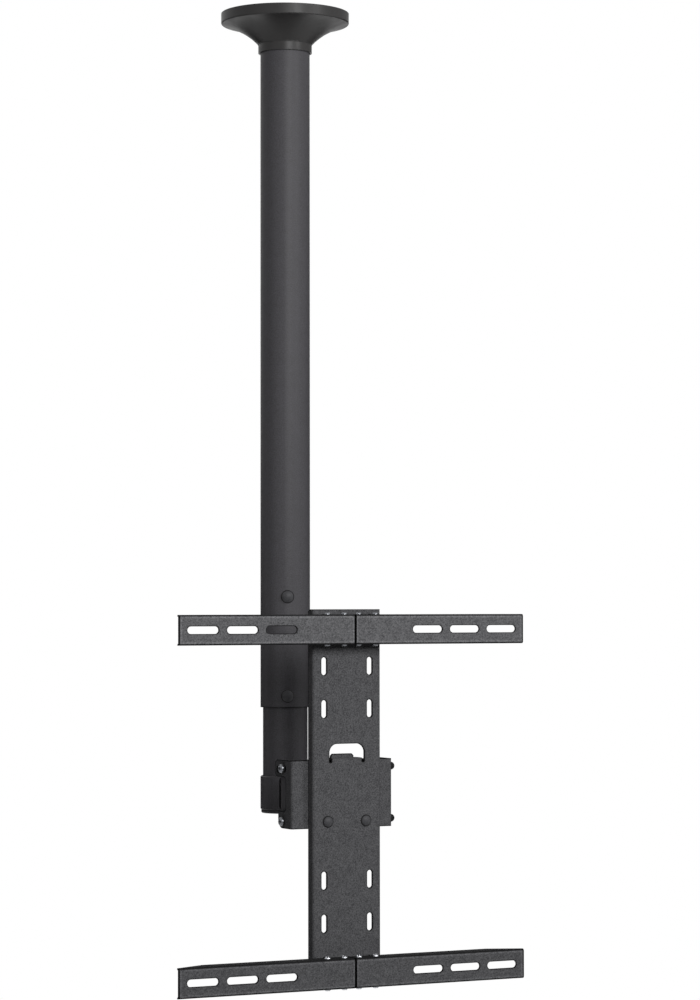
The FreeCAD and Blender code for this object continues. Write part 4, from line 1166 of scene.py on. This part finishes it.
@dataclass
class Studio:
    """White room with soft boxes, black cards and a pale floor below the mount; metres.

    The floor shows its shadow up to the clear radius, and is white from the fade's share of its own radius.
    A card goes from one place of the ground plan to another, up to its top.
    """

    floor_level: float = -1.9
    floor_radius: float = 2.6
    floor_clear: float = 0.5
    floor_fade: float = 0.96
    floor_white: float = 0.6
    floor_sides: int = 96
    ambient: float = 0.07
    lamps: tuple[SoftBox, ...] = (
        SoftBox("key", (-0.3, -2.3, 0.1), 0.8, 1.0, 37),
        SoftBox("strip", (1.15, -2.0, 0.15), 0.4, 1.3, 20),
        SoftBox("fill", (-2.2, -0.9, -0.3), 0.9, 0.9, 3),
        SoftBox("back", (1.2, 2.3, 0.95), 0.9, 0.8, 34, mirrored=False),
    )
    card_foot: float = -2.6
    cards: tuple[tuple[str, tuple[float, float], tuple[float, float], float], ...] = (
        ("studio_card_back", (0.56, 3.09), (-2.18, 2.28), -0.45),
        ("studio_card_left", (-2.6, 1.9), (-3.1, -1.2), -0.45),
        ("studio_card_right", (2.24, 2.21), (3.12, -0.52), 0.5),
        ("studio_card_front", (-5.0, -5.5), (5.0, -5.5), 1.0),
    )

    def build(self) -> None:
        """Makes the camera, the lamps, the room's light, the floor and the cards."""
        ProductCamera().build()
        for lamp in self.lamps:
            lamp.build()
        self.build_room()
        self.build_floor()
        self.build_cards()

    def whiteness(self, tree: NodeTree) -> NodeSocket:
        """Makes white for the eye, for gloss and through glass, and the ambient level for other light.

        Args:
            tree: the node tree that the strength is for.

        Returns:
            The socket of the strength.
        """
        path = add_node(tree, "ShaderNodeLightPath")
        seen = add_node(tree, "ShaderNodeMath", {"operation": "MAXIMUM"}, {
            0: path.outputs["Is Camera Ray"], 1: path.outputs["Is Glossy Ray"]})
        shown = add_node(tree, "ShaderNodeMath", {"operation": "MAXIMUM"}, {
            0: seen.outputs[0], 1: path.outputs["Is Transmission Ray"]})
        return add_node(tree, "ShaderNodeMapRange", feeds={
            "Value": shown.outputs[0], "To Min": self.ambient, "To Max": 1.0}).outputs[0]

    def build_room(self) -> None:
        """Makes the room's light: white for the eye and for reflections, softer for everything else."""
        world = bpy.data.worlds.new("room")
        tree = empty_tree(world)
        light = add_node(tree, "ShaderNodeBackground", feeds={
            "Color": WHITE, "Strength": self.whiteness(tree)})
        add_node(tree, "ShaderNodeOutputWorld", feeds={"Surface": light.outputs[0]})
        bpy.context.scene.world = world

    def build_floor(self) -> None:
        """Makes a pale disc that holds the shadow and fades to the room's white; clear from below."""
        material = bpy.data.materials.new("studio_floor")
        tree = empty_tree(material)
        place = add_node(tree, "ShaderNodeTexCoord").outputs["Object"]
        flat = add_node(tree, "ShaderNodeVectorMath", {"operation": "MULTIPLY"}, {0: place, 1: (1, 1, 0)})
        away = add_node(tree, "ShaderNodeVectorMath", {"operation": "LENGTH"}, {0: flat.outputs[0]})
        path = add_node(tree, "ShaderNodeLightPath")
        paler = add_node(tree, "ShaderNodeMath", {"operation": "MULTIPLY"}, {
            0: path.outputs["Is Camera Ray"], 1: self.floor_white})
        fade = add_node(tree, "ShaderNodeMapRange", {"interpolation_type": "SMOOTHSTEP"}, {
            "Value": away.outputs["Value"], "From Min": self.floor_clear,
            "From Max": self.floor_radius * self.floor_fade, "To Min": paler.outputs[0]})
        pale = add_node(tree, "ShaderNodeBsdfDiffuse", feeds={"Color": linear("#e4e4e4")})
        white = add_node(tree, "ShaderNodeEmission", feeds={"Color": WHITE, "Strength": self.whiteness(tree)})
        bright = add_node(tree, "ShaderNodeMath", {"operation": "MAXIMUM"}, {
            0: fade.outputs[0], 1: path.outputs["Is Glossy Ray"]})
        top = add_node(tree, "ShaderNodeMixShader", feeds={
            0: bright.outputs[0], 1: pale.outputs[0], 2: white.outputs[0]})
        side = add_node(tree, "ShaderNodeNewGeometry")
        clear = add_node(tree, "ShaderNodeBsdfTransparent")
        whole = add_node(tree, "ShaderNodeMixShader", feeds={
            0: side.outputs["Backfacing"], 1: top.outputs[0], 2: clear.outputs[0]})
        add_node(tree, "ShaderNodeOutputMaterial", feeds={"Surface": whole.outputs[0]})
        self.spread("studio_floor", ring(self.floor_radius, self.floor_level, self.floor_sides), material)

    def build_cards(self) -> None:
        """Makes black cards round the mount: clear for the eye, they keep its rims dark."""
        material = bpy.data.materials.new("studio_card")
        tree = empty_tree(material)
        path = add_node(tree, "ShaderNodeLightPath")
        black = add_node(tree, "ShaderNodeBsdfDiffuse", feeds={"Color": linear("#161616")})
        clear = add_node(tree, "ShaderNodeBsdfTransparent")
        whole = add_node(tree, "ShaderNodeMixShader", feeds={
            0: path.outputs["Is Camera Ray"], 1: black.outputs[0], 2: clear.outputs[0]})
        add_node(tree, "ShaderNodeOutputMaterial", feeds={"Surface": whole.outputs[0]})
        for name, start, end, top in self.cards:
            corners = [(*start, self.card_foot), (*end, self.card_foot), (*end, top), (*start, top)]
            self.spread(name, corners, material)

    @staticmethod
    def spread(name: str, outline: Sequence[Vector | Point], material: Material) -> None:
        """Makes one flat face of the studio.

        Args:
            name: the face's name.
            outline: its corners, counter-clockwise for one who looks at its front.
            material: its material.
        """
        mesh = bpy.data.meshes.new(name)
        mesh.from_pydata(outline, [], [tuple(range(len(outline)))])
        face = add_object(name, mesh, [material])


def main() -> None:
    """Builds the looks, from the camera to the fittings."""
    logging.basicConfig(level=logging.INFO, format="%(name)s: %(message)s")
    bpy.context.scene.view_settings.view_transform = "Standard"
    Studio().build()
    finishes = Finishes.make()
    CadSkin(finishes).dress()
    PoleFittings(finishes).build()
    HeadFittings(finishes).build()
    ArmFittings(finishes).build()


if __name__ == "__main__":
    main()
